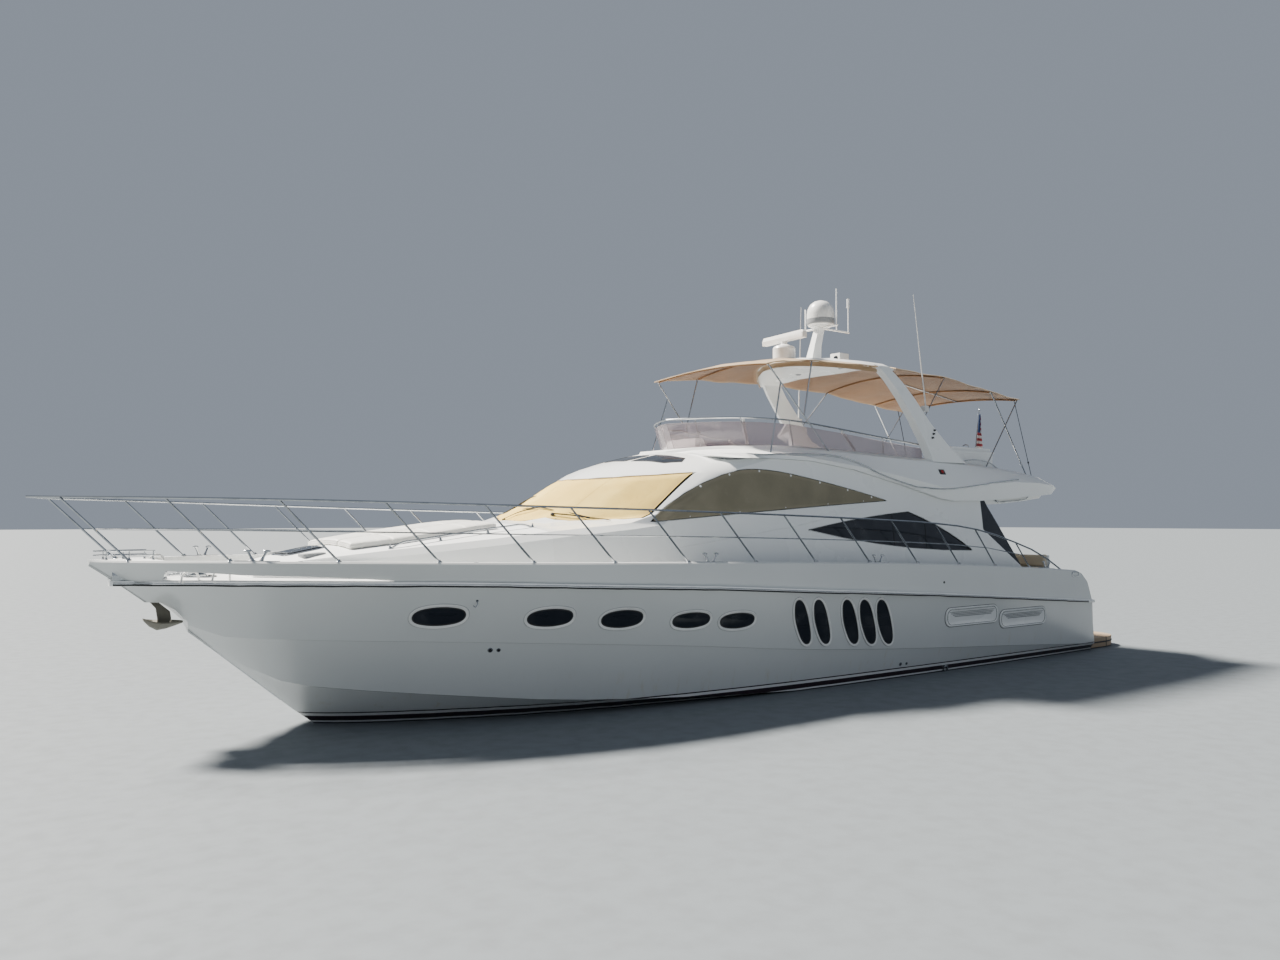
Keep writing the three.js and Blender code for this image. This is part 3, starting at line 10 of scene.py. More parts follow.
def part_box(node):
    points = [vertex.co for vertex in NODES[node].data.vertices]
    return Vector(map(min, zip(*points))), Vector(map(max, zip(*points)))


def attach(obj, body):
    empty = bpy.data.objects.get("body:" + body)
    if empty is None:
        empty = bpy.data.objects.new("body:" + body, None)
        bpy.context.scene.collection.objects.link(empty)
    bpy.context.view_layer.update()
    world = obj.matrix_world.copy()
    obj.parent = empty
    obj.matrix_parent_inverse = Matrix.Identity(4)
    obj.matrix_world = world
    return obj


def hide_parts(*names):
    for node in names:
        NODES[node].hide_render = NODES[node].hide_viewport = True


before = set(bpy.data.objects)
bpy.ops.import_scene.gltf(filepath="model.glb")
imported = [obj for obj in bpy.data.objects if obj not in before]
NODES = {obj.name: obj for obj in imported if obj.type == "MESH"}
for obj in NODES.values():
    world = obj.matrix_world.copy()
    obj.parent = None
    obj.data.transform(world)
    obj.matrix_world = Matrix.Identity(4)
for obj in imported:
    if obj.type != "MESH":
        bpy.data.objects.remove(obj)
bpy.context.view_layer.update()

# Camera

WIDE = 1280  # pixels across the picture
FOCAL = 1023.9  # pixels
EYE = (12.71, 13.46, 2.687)
HEADING = -127.37  # degrees from +X
PITCH = 2.21


def make_camera():
    data = bpy.data.cameras.new("camera")
    data.sensor_width = 36
    data.lens = 36 * FOCAL / WIDE
    data.clip_start, data.clip_end = 0.1, 800
    camera = bpy.data.objects.new("camera", data)
    camera.location = EYE
    camera.rotation_euler = (math.radians(90 + PITCH), 0, math.radians(HEADING - 90))
    bpy.context.scene.collection.objects.link(camera)
    bpy.context.scene.camera = camera


make_camera()

# Shader helpers


def feed(tree, socket, value):
    """Gives a socket a constant, or a link from a socket or from a node's first output."""
    if isinstance(value, bpy.types.Node):
        value = value.outputs[0]
    if isinstance(value, bpy.types.NodeSocket):
        tree.links.new(value, socket)
    else:
        socket.default_value = value


def wire(tree, node, **given):
    """Feeds a node's inputs, named with _ for a blank."""
    for key, value in given.items():
        feed(tree, node.inputs[key.replace("_", " ")], value)


def add(tree, kind, **given):
    """A node. Lower-case names are its settings; others are its sockets, by name or as i0, i1."""
    node = tree.nodes.new(kind if kind.startswith("NodeGroup") else "ShaderNode" + kind)
    for key, value in given.items():
        if is_index(key):
            feed(tree, node.inputs[int(key[1:])], value)
        elif key[0].islower():
            setattr(node, key, value)
        else:
            wire(tree, node, **{key: value})
    return node


def is_index(key):
    return key[0] == "i" and key[1:].isdigit()


def calc(tree, operation, a, b=0.0, clamp=False):
    return add(tree, "Math", operation=operation, use_clamp=clamp, i0=a, i1=b)


def times(tree, a, b):
    return calc(tree, "MULTIPLY", a, b)


def plus(tree, a, b):
    return calc(tree, "ADD", a, b)


def inverse(tree, value):
    return calc(tree, "SUBTRACT", 1.0, value)


def mixed(tree, share, a, b):
    """Colour a turning into colour b."""
    colour = [(*value, 1) if isinstance(value, tuple) else value for value in (a, b)]
    return add(tree, "Mix", data_type="RGBA", i0=share, i6=colour[0], i7=colour[1]).outputs[2]


def step(tree, value, low, high):
    """0 at low, 1 at high."""
    return add(tree, "MapRange", interpolation_type="SMOOTHSTEP", Value=value, From_Min=low, From_Max=high)


def noise(tree, at, scale, detail, **more):
    return add(tree, "TexNoise", Vector=at, Scale=scale, Detail=detail, **more)


def stretched(tree, vector, scale):
    return add(tree, "Mapping", vector_type="POINT", Vector=vector, Scale=scale)


def own_point(tree):
    return add(tree, "TexCoord").outputs["Object"]


def make_group(name, inputs, outputs, build):
    """A node group. inputs: name to (kind, value); outputs: names; build gives the outputs."""
    tree = bpy.data.node_groups.new(name, "ShaderNodeTree")
    for key, (kind, value) in inputs.items():
        socket = tree.interface.new_socket(name=key, in_out="INPUT", socket_type="NodeSocket" + kind)
        if value is not None:
            socket.default_value = value
    for key in outputs:
        tree.interface.new_socket(name=key, in_out="OUTPUT", socket_type="NodeSocketFloat")
    given = add(tree, "NodeGroupInput").outputs
    wire(tree, add(tree, "NodeGroupOutput"), **build(tree, given))
    return tree


def use(tree, group, **given):
    """The outputs of a group's node."""
    node = tree.nodes.new("ShaderNodeGroup")
    node.node_tree = group
    wire(tree, node, **given)
    return node.outputs


# Top of the bottom paint, then the lower and upper edges of the wide and of the fine dark stripe
BOOT_EDGES = (0.022, 0.045, 0.118, 0.158, 0.176)


def weather_group():
    """Uneven fading in patches, and runs down a side."""

    def build(tree, given):
        patch = noise(tree, given["Vector"], given["Scale"], 4.0)
        tall = stretched(tree, given["Vector"], (1.0, 1.0, 0.06))
        runs = noise(tree, tall, 9.0, 6.0, Roughness=0.65)
        return {"Patch": step(tree, patch, 0.15, 0.9), "Runs": step(tree, runs, 0.55, 0.75)}

    inputs = {"Vector": ("Vector", None), "Scale": ("Float", 1.0)}
    return make_group("weathering", inputs, ["Patch", "Runs"], build)


def weave_group():
    """Threads that pass over and under each other."""

    def build(tree, given):
        parts = add(tree, "SeparateXYZ", Vector=given["Vector"])
        turn = times(tree, given["Threads"], math.pi)
        warp = calc(tree, "SINE", times(tree, parts.outputs[0], turn))
        weft = calc(tree, "SINE", times(tree, parts.outputs[1], turn))
        over = calc(tree, "ABSOLUTE", times(tree, warp, weft))
        slub = noise(tree, given["Vector"], 40.0, 5.0)
        height = plus(tree, over, times(tree, slub, 0.6))
        return {"Height": height, "Slub": slub}

    inputs = {"Vector": ("Vector", None), "Threads": ("Float", 500.0)}
    return make_group("weave", inputs, ["Height", "Slub"], build)


def stripe_group():
    """Bands round the hull by height over the water: dark, light, and the painted bottom."""

    def build(tree, given):
        z = given["Height"]

        def band(low, high):
            above = step(tree, z, low - 0.002, low + 0.002)
            below = step(tree, z, high - 0.002, high + 0.002)
            return calc(tree, "SUBTRACT", above, below, clamp=True)

        paint, wide_low, wide_high, fine_low, fine_high = BOOT_EDGES
        dark = calc(tree, "ADD", band(wide_low, wide_high), band(fine_low, fine_high), clamp=True)
        light = calc(tree, "ADD", band(paint, wide_low), band(wide_high, fine_low), clamp=True)
        return {"Dark": dark, "Light": light, "Bottom": inverse(tree, step(tree, z, paint - 0.004, paint))}

    return make_group("boot_stripe", {"Height": ("Float", 0.0)}, ["Dark", "Light", "Bottom"], build)


def plank_group():
    """Deck planks along X with dark caulking between them."""

    def build(tree, given):
        parts = add(tree, "SeparateXYZ", Vector=given["Vector"])
        across = calc(tree, "DIVIDE", parts.outputs[1], given["Width"])
        place = calc(tree, "FRACT", across)
        edge = calc(tree, "ABSOLUTE", calc(tree, "SUBTRACT", place, 0.5))
        seam = step(tree, edge, 0.44, 0.47)
        number = calc(tree, "FLOOR", across)
        tone = add(tree, "TexWhiteNoise", noise_dimensions="1D", W=number).outputs["Value"]
        long = stretched(tree, given["Vector"], (1.2, 30.0, 30.0))
        grain = noise(tree, long, 6.0, 8.0, Roughness=0.6)
        return {"Seam": seam, "Tone": tone, "Grain": grain}

    inputs = {"Vector": ("Vector", None), "Width": ("Float", 0.06)}
    return make_group("planking", inputs, ["Seam", "Tone", "Grain"], build)


def tread_group():
    """Raised anti-slip diamonds, only where a surface faces up."""

    def build(tree, given):
        cell = add(tree, "TexVoronoi", distance="CHEBYCHEV", Vector=given["Vector"], Scale=95.0)
        height = step(tree, cell.outputs["Distance"], 0.15, 0.5)
        up = add(tree, "SeparateXYZ", Vector=add(tree, "NewGeometry").outputs["Normal"])
        level = step(tree, up.outputs[2], 0.93, 0.97)
        return {"Height": times(tree, height, level), "Level": level}

    return make_group("tread", {"Vector": ("Vector", None)}, ["Height", "Level"], build)


WEATHER = weather_group()
WEAVE = weave_group()
STRIPE = stripe_group()
PLANK = plank_group()
TREAD = tread_group()


def new_look(name, **sockets):
    """A material with its main shader; sockets are set on the shader itself."""
    material = bpy.data.materials.new(name)
    material.use_nodes = True
    tree = material.node_tree
    tree.nodes.clear()
    shader = add(tree, "BsdfPrincipled", **sockets)
    add(tree, "OutputMaterial", Surface=shader)
    return material, tree, shader


def bump(tree, height, distance, strength=1.0):
    return add(tree, "Bump", Strength=strength, Distance=distance, Height=height)


# Materials

GEL = (0.87, 0.88, 0.87)
GEL_FADED = (0.81, 0.825, 0.815)
# Darker copies of the white gelcoat for the hull and the bulwark's sides: painted shade for a side in shade;
# the second also carries the uneven fading.
HULL_GEL_PAINTED_SHADE = (0.65, 0.665, 0.655)
HULL_FADED_PAINTED_SHADE = (0.60, 0.615, 0.605)
GRIME = (0.46, 0.44, 0.37)
TREAD_TONE = (0.80, 0.81, 0.80)
SCUM = (0.55, 0.50, 0.36)
STRIPE_PALE = (0.78, 0.78, 0.76)
STRIPE_DARK = (0.022, 0.010, 0.016)
BOTTOM_PAINT, BOTTOM_SLIME = (0.012, 0.014, 0.02), (0.045, 0.05, 0.035)
STEEL, STEEL_SMEARED = (0.46, 0.48, 0.50), (0.34, 0.36, 0.38)
BRONZE, VERDIGRIS = (0.52, 0.36, 0.16), (0.16, 0.19, 0.14)
DUST = (0.30, 0.30, 0.31)
OILED_TEAK = ((0.20, 0.11, 0.05), (0.34, 0.20, 0.10))  # dark and pale grain
BARE_TEAK = ((0.28, 0.20, 0.13), (0.42, 0.31, 0.20))
CAULKING = (0.015, 0.014, 0.013)
FLAG_WHITE, FLAG_RED, FLAG_BLUE = (0.74, 0.72, 0.70), (0.42, 0.06, 0.07), (0.05, 0.09, 0.24)
ENSIGN_HOIST, ENSIGN_FLY = 0.775, 0.86  # the flat cloth's height and length
STRIPE_PAIRS = 6.5 / 0.78  # to the metre of its height


def gelcoat_look(name, tread=False, tones=(GEL, GEL_FADED)):
    material, tree, shader = new_look(name, Coat_Weight=0.35, Coat_Roughness=0.32 if tread else 0.06)
    at = own_point(tree)
    worn = use(tree, WEATHER, Vector=at, Scale=0.9)
    colour = mixed(tree, times(tree, worn["Patch"], 0.6), *tones)
    colour = mixed(tree, times(tree, worn["Runs"], 0.03), colour, GRIME)
    peel = noise(tree, at, 60.0, 3.0)
    height, depth = peel, 0.0004
    rough = plus(tree, times(tree, worn["Patch"], 0.08), 0.36 if tread else 0.24)
    if tread:
        grip = use(tree, TREAD, Vector=at)
        colour = mixed(tree, times(tree, grip["Level"], 0.75), colour, TREAD_TONE)
        rough = plus(tree, rough, times(tree, grip["Level"], 0.35))
        height = plus(tree, times(tree, peel, 0.2), grip["Height"])
        depth = 0.001
    wire(tree, shader, Base_Color=colour, Roughness=rough, Normal=bump(tree, height, depth, 0.6))
    return material


def hull_look():
    material, tree, shader = new_look("hull_gelcoat_painted_shade", Coat_Weight=0.4, Coat_Roughness=0.05)
    at = own_point(tree)
    z = add(tree, "SeparateXYZ", Vector=at).outputs[2]
    worn = use(tree, WEATHER, Vector=at, Scale=0.7)
    # The hull's base tones are painted shade, darker than the house's gelcoat.
    colour = mixed(tree, times(tree, worn["Patch"], 0.6), HULL_GEL_PAINTED_SHADE, HULL_FADED_PAINTED_SHADE)
    low = inverse(tree, step(tree, z, 0.1, 0.75))
    scum = times(tree, times(tree, low, 0.55), worn["Runs"])
    colour = mixed(tree, scum, colour, SCUM)
    stripe = use(tree, STRIPE, Height=z)
    colour = mixed(tree, stripe["Light"], colour, STRIPE_PALE)
    colour = mixed(tree, stripe["Dark"], colour, STRIPE_DARK)
    slime = noise(tree, at, 2.5, 8.0)
    paint = mixed(tree, step(tree, slime, 0.45, 0.75), BOTTOM_PAINT, BOTTOM_SLIME)
    colour = mixed(tree, stripe["Bottom"], colour, paint)
    peel = noise(tree, at, 14.0, 4.0)
    rough = plus(tree, times(tree, stripe["Bottom"], 0.45), 0.22)
    wire(tree, shader, Base_Color=colour, Roughness=rough, Normal=bump(tree, peel, 0.0006, 0.5))
    return material


def steel_look():
    material, tree, shader = new_look("stainless_steel", Metallic=1.0)
    at = own_point(tree)
    smear = noise(tree, at, 7.0, 5.0)
    fine = noise(tree, at, 220.0, 2.0)
    colour = mixed(tree, step(tree, smear, 0.4, 0.7), STEEL, STEEL_SMEARED)
    rough = plus(tree, times(tree, smear, 0.22), 0.1)
    wire(tree, shader, Base_Color=colour, Roughness=rough, Normal=bump(tree, fine, 0.0002, 0.3))
    return material


def bronze_look():
    material, tree, shader = new_look("bronze")
    at = own_point(tree)
    dull = noise(tree, at, 11.0, 7.0)
    mask = step(tree, dull, 0.45, 0.62)
    colour = mixed(tree, mask, BRONZE, VERDIGRIS)
    metal = inverse(tree, times(tree, mask, 0.8))
    rough = plus(tree, times(tree, mask, 0.4), 0.28)
    shape = bump(tree, dull, 0.001, 0.5)
    wire(tree, shader, Base_Color=colour, Metallic=metal, Roughness=rough, Normal=shape)
    return material


def glass_look(name, tint, clear, rough=0.03):
    material, tree, shader = new_look(name, Metallic=0.0, IOR=1.45, Transmission_Weight=clear)
    at = own_point(tree)
    dust = noise(tree, at, 3.0, 6.0)
    share = times(tree, step(tree, dust, 0.45, 0.8), 0.12)
    rough = plus(tree, times(tree, share, 0.8), rough)
    wire(tree, shader, Base_Color=mixed(tree, share, tint, DUST), Roughness=rough)
    return material


def cloth_look(name, dark, light, threads, hem, sheen=0.3):
    """Woven cloth on a sheet that has its flat place as UV, in metres, and its hem marked."""
    material, tree, shader = new_look(name, Roughness=0.9, Sheen_Weight=sheen, Sheen_Roughness=0.4)
    at = own_point(tree)
    flat = add(tree, "UVMap", uv_map="flat").outputs["UV"]
    cloth = use(tree, WEAVE, Vector=flat, Threads=threads)
    faded = noise(tree, at, 1.6, 6.0)
    colour = mixed(tree, step(tree, faded, 0.3, 0.7), dark, light)
    spots = noise(tree, at, 9.0, 8.0, Roughness=0.7)
    colour = mixed(tree, times(tree, step(tree, spots, 0.55, 0.75), 0.12), colour, GRIME)
    colour = mixed(tree, times(tree, cloth["Height"], 0.16), colour, tuple(0.55 * c for c in dark))
    edge = add(tree, "Attribute", attribute_name="hem").outputs["Fac"]
    colour = mixed(tree, times(tree, edge, 0.8), colour, hem)
    crease = noise(tree, at, 5.0, 3.0, Distortion=0.6)
    height = plus(tree, cloth["Height"], times(tree, crease, 6.0))
    wire(tree, shader, Base_Color=colour, Normal=bump(tree, height, 0.0012, 0.8))
    return material


def vinyl_look(name, pale, worn_tone):
    material, tree, shader = new_look(name, Sheen_Weight=0.15, Sheen_Roughness=0.5)
    at = own_point(tree)
    wear = use(tree, WEATHER, Vector=at, Scale=3.0)
    grain = add(tree, "TexVoronoi", Vector=at, Scale=420.0)
    wrinkle = noise(tree, at, 14.0, 5.0, Distortion=0.8)
    colour = mixed(tree, times(tree, wear["Patch"], 0.7), pale, worn_tone)
    rough = plus(tree, times(tree, wear["Patch"], 0.15), 0.42)
    height = plus(tree, grain.outputs["Distance"], times(tree, wrinkle, 3.0))
    wire(tree, shader, Base_Color=colour, Roughness=rough, Normal=bump(tree, height, 0.0009, 0.7))
    return material


def teak_look(name, width, oiled):
    material, tree, shader = new_look(name)
    at = own_point(tree)
    wood = use(tree, PLANK, Vector=at, Width=width)
    dark, base = OILED_TEAK if oiled else BARE_TEAK
    colour = mixed(tree, wood["Grain"], dark, base)
    colour = mixed(tree, times(tree, wood["Tone"], 0.35), colour, base)
    colour = mixed(tree, wood["Seam"], colour, CAULKING)
    rough = plus(tree, times(tree, wood["Grain"], 0.2), 0.3 if oiled else 0.55)
    height = calc(tree, "SUBTRACT", times(tree, wood["Grain"], 0.3), wood["Seam"])
    wire(tree, shader, Base_Color=colour, Roughness=rough, Normal=bump(tree, height, 0.001, 0.6))
    return material


def plain_look(name, tone, rough, metal=0.0, depth=0.0003, scale=40.0):
    """Moulded plastic, rubber or paint: one tone, unevenly dull, with a fine grain."""
    material, tree, shader = new_look(name, Metallic=metal)
    at = own_point(tree)
    cloud = noise(tree, at, 4.0, 6.0)
    fine = noise(tree, at, scale, 4.0)
    faded = tuple(min(1.0, c * 0.82 + 0.012) for c in tone)
    colour = mixed(tree, step(tree, cloud, 0.35, 0.75), tone, faded)
    rough = plus(tree, times(tree, cloud, 0.18), rough - 0.09)
    wire(tree, shader, Base_Color=colour, Roughness=rough, Normal=bump(tree, fine, depth, 0.6))
    return material


def flag_look():
    """Blue canton above, red and white stripes beside it, by the place on the flat cloth."""
    material, tree, shader = new_look("ensign_cloth", Roughness=0.85, Sheen_Weight=0.3)
    flat = add(tree, "UVMap", uv_map="flat").outputs["UV"]
    along, up, _ = add(tree, "SeparateXYZ", Vector=flat).outputs
    row = calc(tree, "FRACT", times(tree, up, STRIPE_PAIRS))
    colour = mixed(tree, step(tree, row, 0.49, 0.51), FLAG_WHITE, FLAG_RED)
    high = step(tree, up, 0.355, 0.365)
    near = inverse(tree, step(tree, along, 0.42, 0.43))
    colour = mixed(tree, times(tree, high, near), colour, FLAG_BLUE)
    cloth = use(tree, WEAVE, Vector=flat, Threads=900.0)
    wire(tree, shader, Base_Color=colour, Normal=bump(tree, cloth["Height"], 0.0006, 0.6))
    return material


# darker and lighter tone, threads to the metre, hem's tone
CREAM = ((0.82, 0.56, 0.13), (0.91, 0.67, 0.19), 700.0, (0.52, 0.34, 0.12))
OLIVE = ((0.21, 0.185, 0.125), (0.27, 0.24, 0.165), 420.0, (0.30, 0.265, 0.185))
CANOPY_OUTSIDE = ((0.42, 0.29, 0.17), (0.50, 0.36, 0.22), 600.0, (0.46, 0.33, 0.21))
# The canopy's underside: a darker, more saturated copy of its cloth, as painted shade and a painted glow of
# sun through the canvas.
CANOPY_UNDERSIDE_SHADE_GLOW = ((0.20, 0.098, 0.038), (0.27, 0.138, 0.056), 600.0, (0.36, 0.22, 0.11))

LOOK = {
    "hull": hull_look(),
    "gel": gelcoat_look("gelcoat"),
    "deck": gelcoat_look("deck_gelcoat", tread=True),
    # The bulwark's sides take the hull's darker tones as painted shade, and its up-facing tread turns paler,
    # so its tops read lit and its sides shaded.
    "bulwark": gelcoat_look("bulwark_gelcoat_painted_shade", tread=True, tones=(HULL_GEL_PAINTED_SHADE, HULL_FADED_PAINTED_SHADE)),
    "steel": steel_look(),
    "bronze": bronze_look(),
    "iron": plain_look("galvanised_iron", (0.15, 0.14, 0.11), 0.6, 0.35, 0.0012, 30.0),
    "glass": glass_look("dark_window_glass", (0.018, 0.022, 0.03), 0.25),
    "perspex": glass_look("smoked_acrylic", (0.62, 0.54, 0.56), 0.82, 0.02),
    "cream": cloth_look("cream_cover", *CREAM, 0.0),
    "olive": cloth_look("olive_cover", *OLIVE),
    "shade_top": cloth_look("canopy_top", *CANOPY_OUTSIDE),
    "shade_under": cloth_look("canopy_underside_painted_shade_glow", *CANOPY_UNDERSIDE_SHADE_GLOW),
    "vinyl": vinyl_look("white_vinyl", (0.78, 0.77, 0.73), (0.68, 0.67, 0.62)),
    "tan_vinyl": vinyl_look("tan_vinyl", (0.62, 0.53, 0.40), (0.54, 0.45, 0.33)),
    "deck_teak": teak_look("deck_teak", 0.065, False),
    "fine_teak": teak_look("varnished_teak", 0.09, True),
    "radome": plain_look("radome_plastic", (0.80, 0.80, 0.78), 0.34),
    "black": plain_look("black_plastic", (0.012, 0.012, 0.013), 0.42),
    "rubber": plain_look("black_rubber", (0.02, 0.02, 0.021), 0.7, depth=0.0006),
    "grey": plain_look("grey_plastic", (0.26, 0.27, 0.28), 0.5),
    "red": plain_look("red_lens", (0.35, 0.01, 0.01), 0.18),
    "green": plain_look("green_lens", (0.01, 0.22, 0.05), 0.18),
    "whip": plain_look("aerial_fibreglass", (0.72, 0.72, 0.70), 0.4),
    "tan_hem": plain_look("cover_hem", (0.42, 0.31, 0.17), 0.8, depth=0.0008, scale=160.0),
    "flag": flag_look(),
}

# Which look each node of the frame has, by its name, or by a word in its name; the others are gelcoat

NODE_LOOK = {
    "hull": "hull",
    "rub_rail": "gel",
    "deck": "bulwark",
    "coachroof": "deck",
    "flybridge": "deck",
    "bathing_platform": "deck_teak",
    "saloon_floor": "deck_teak",
    "saloon_dash": "fine_teak",
    "fly_table": "fine_teak",
    "fly_stair": "fine_teak",
    "flybridge_screen": "perspex",
    "fly_wheel": "black",
    "windscreen": "glass",
    "foredeck_hatch": "glass",
    "saloon_door": "glass",
    "saloon_fixed_panel": "glass",
    "anchor": "iron",
    "anchor_windlass": "steel",
}
KINDS = {
    "steel": ("rail", "frame", "staff"),
    "glass": ("window", "wing_screen"),
    "bronze": ("propeller", "shaft", "rudder"),
    "radome": ("radar_pedestal", "radar_scanner", "satellite", "night_camera"),
    "whip": ("whip",),
}


def node_look(name):
    found = [look for look, words in KINDS.items() if any(word in name for word in words)]
    return NODE_LOOK.get(name, found[0] if found else "gel")


def smooth(mesh):
    mesh.polygons.foreach_set("use_smooth", [True] * len(mesh.polygons))


def dress_nodes():
    for name, node in NODES.items():
        node.data.materials.clear()
        node.data.materials.append(LOOK[node_look(name)])
        smooth(node.data)
        node.modifiers.new("weld", "WELD").merge_threshold = 0.0002
        node.modifiers.new("edges", "EDGE_SPLIT").split_angle = math.radians(26)
        node.modifiers.new("normals", "WEIGHTED_NORMAL").keep_sharp = True


dress_nodes()

# Mesh helpers


def turns(sides):
    """Even angles, once round."""
    return [2 * math.pi * k / sides for k in range(sides)]


def spread(start, end, count):
    """Even steps from start to end, with both ends."""
    return [start + (end - start) * i / count for i in range(count + 1)]


class Form:
    """Points and faces of one piece, put together part by part. A tag picks one of its looks."""

    def __init__(self):
        self.points, self.faces, self.tags = [], [], []

    def put(self, points, faces, tag=0):
        start = len(self.points)
        self.points += [tuple(point) for point in points]
        self.faces += [tuple(start + i for i in face) for face in faces]
        self.tags += [tag] * len(faces)

    def loft(self, loops, tag=0, ends=True, ring=False):
        """A skin through equal closed loops; ring joins the last loop to the first."""
        count, rows = len(loops[0]), len(loops)
        faces = []
        for row in range(rows if ring else rows - 1):
            a, b = row * count, (row + 1) % rows * count
            for i in range(count):
                j = (i + 1) % count
                faces.append((a + i, a + j, b + j, b + i))
        if ends and not ring:
            faces.append(tuple(reversed(range(count))))
            faces.append(tuple(range((rows - 1) * count, rows * count)))
        self.put([point for loop in loops for point in loop], faces, tag)

    def tube(self, path, radius, sides=10, tag=0, ring=False):
        """A round bar along a path; radius is one number, or one for each point."""
        path = [Vector(point) for point in path]
        last = len(path) - 1
        loops, side = [], None
        for i, point in enumerate(path):
            before = path[i - 1] if ring or i else path[0]
            after = path[(i + 1) % len(path)] if ring or i < last else path[last]
            ahead = (after - before).normalized()
            side = side or ahead.orthogonal().normalized()
            side = (side - ahead * side.dot(ahead)).normalized()
            other = ahead.cross(side)
            r = radius[i] if isinstance(radius, (list, tuple)) else radius
            loops.append([point + r * (side * math.cos(a) + other * math.sin(a)) for a in turns(sides)])
        self.loft(loops, tag, ring=ring)

    def turned(self, profile, at, axis=(0, 0, 1), sides=20, tag=0):
        """A body turned round an axis from (radius, distance along the axis) pairs."""
        axis = Vector(axis).normalized()
        side = axis.orthogonal().normalized()
        other = axis.cross(side)
        round_axis = [side * math.cos(a) + other * math.sin(a) for a in turns(sides)]
        places = [(Vector(at) + axis * along, max(r, 4e-4)) for r, along in profile]
        self.loft([[middle + r * arm for arm in round_axis] for middle, r in places], tag)

    def prism(self, outline, levels, tag=0, place=None):
        """A body over a flat outline; levels are (growth of the outline, height)."""
        rows = [[(u, v, height) for u, v in grown(outline, grow)] for grow, height in levels]
        if place:
            rows = [[place @ Vector(point) for point in row] for row in rows]
        self.loft(rows, tag)

    def block(self, low, high, edge=0.006, corner=None, tag=0, place=None):
        """A box with rounded edges, and corners of its own radius where that is given."""
        levels = [(-0.85, 0.0), (-0.25, 0.25), (0.0, 0.85)]
        under = [(grow * edge, low[2] + up * edge) for grow, up in levels]
        over = [(grow * edge, high[2] - up * edge) for grow, up in reversed(levels)]
        self.prism(rounded(low, high, corner or edge), under + over, tag, place)


def link_piece(name, mesh, looks, body):
    piece = bpy.data.objects.new(name, mesh)
    bpy.context.scene.collection.objects.link(piece)
    for look in looks:
        mesh.materials.append(LOOK[look])
    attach(piece, body)
    return piece


def make_piece(name, form, looks, body="boat", sharp=34, outward=True):
    """A piece from a form, its faces turned outwards and smooth up to an angle."""
    mesh = bpy.data.meshes.new(name)
    mesh.from_pydata(form.points, [], form.faces)
    mesh.polygons.foreach_set("material_index", form.tags)
    if outward:
        shell = bmesh.new()
        shell.from_mesh(mesh)
        bmesh.ops.recalc_face_normals(shell, faces=shell.faces)
        shell.to_mesh(mesh)
        shell.free()
    smooth(mesh)
    mesh.set_sharp_from_angle(angle=math.radians(sharp))
    return link_piece(name, mesh, [looks] if isinstance(looks, str) else looks, body)


def eased(points, steps=6):
    """A smooth line through a few points."""
    points = [Vector(point) for point in points]
    line = []
    for i in range(len(points) - 1):
        a, b = points[i], points[i + 1]
        before = points[i - 1] if i else a * 2 - b
        after = points[i + 2] if i + 2 < len(points) else b * 2 - a
        for k in range(steps):
            t = k / steps
            line.append(
                a * (1 - 2.5 * t**2 + 1.5 * t**3)
                + b * (0.5 * t + 2 * t**2 - 1.5 * t**3)
                + before * (t**2 - 0.5 * t - 0.5 * t**3)
                + after * (0.5 * t**3 - 0.5 * t**2)
            )
    return line + [points[-1]]


def grown(outline, by):
    """A flat outline with every edge moved outwards."""
    area = sum(a[0] * b[1] - b[0] * a[1] for a, b in zip(outline, outline[1:] + outline[:1]))
    sign = 1 if area > 0 else -1
    moved = []
    for i, point in enumerate(outline):
        before, after = Vector(outline[i - 1]), Vector(outline[(i + 1) % len(outline)])
        here = Vector(point)
        sides = [Vector((d.y, -d.x)).normalized() * sign for d in (here - before, after - here)]
        middle = (sides[0] + sides[1]).normalized()
        reach = by / max(0.5, middle.dot(sides[0]))
        moved.append(tuple(here + middle * reach))
    return moved


def rounded(low, high, corner, steps=3):
    """A rectangle's outline with round corners."""
    right, top, left, foot = high[0] - corner, high[1] - corner, low[0] + corner, low[1] + corner
    outline = []
    for x, y, start in ((right, top, 0.0), (left, top, 0.5), (left, foot, 1.0), (right, foot, 1.5)):
        for i in range(steps + 1):
            turn = math.pi * (start + 0.5 * i / steps)
            outline.append((x + corner * math.cos(turn), y + corner * math.sin(turn)))
    return outline


def scaled(outline, share):
    middle = sum((Vector(point) for point in outline), Vector((0, 0))) / len(outline)
    return [tuple(middle + (Vector(point) - middle) * share) for point in outline]


BESIDE, ABOVE = 4.5, 7.5  # where rays start, clear of the boat


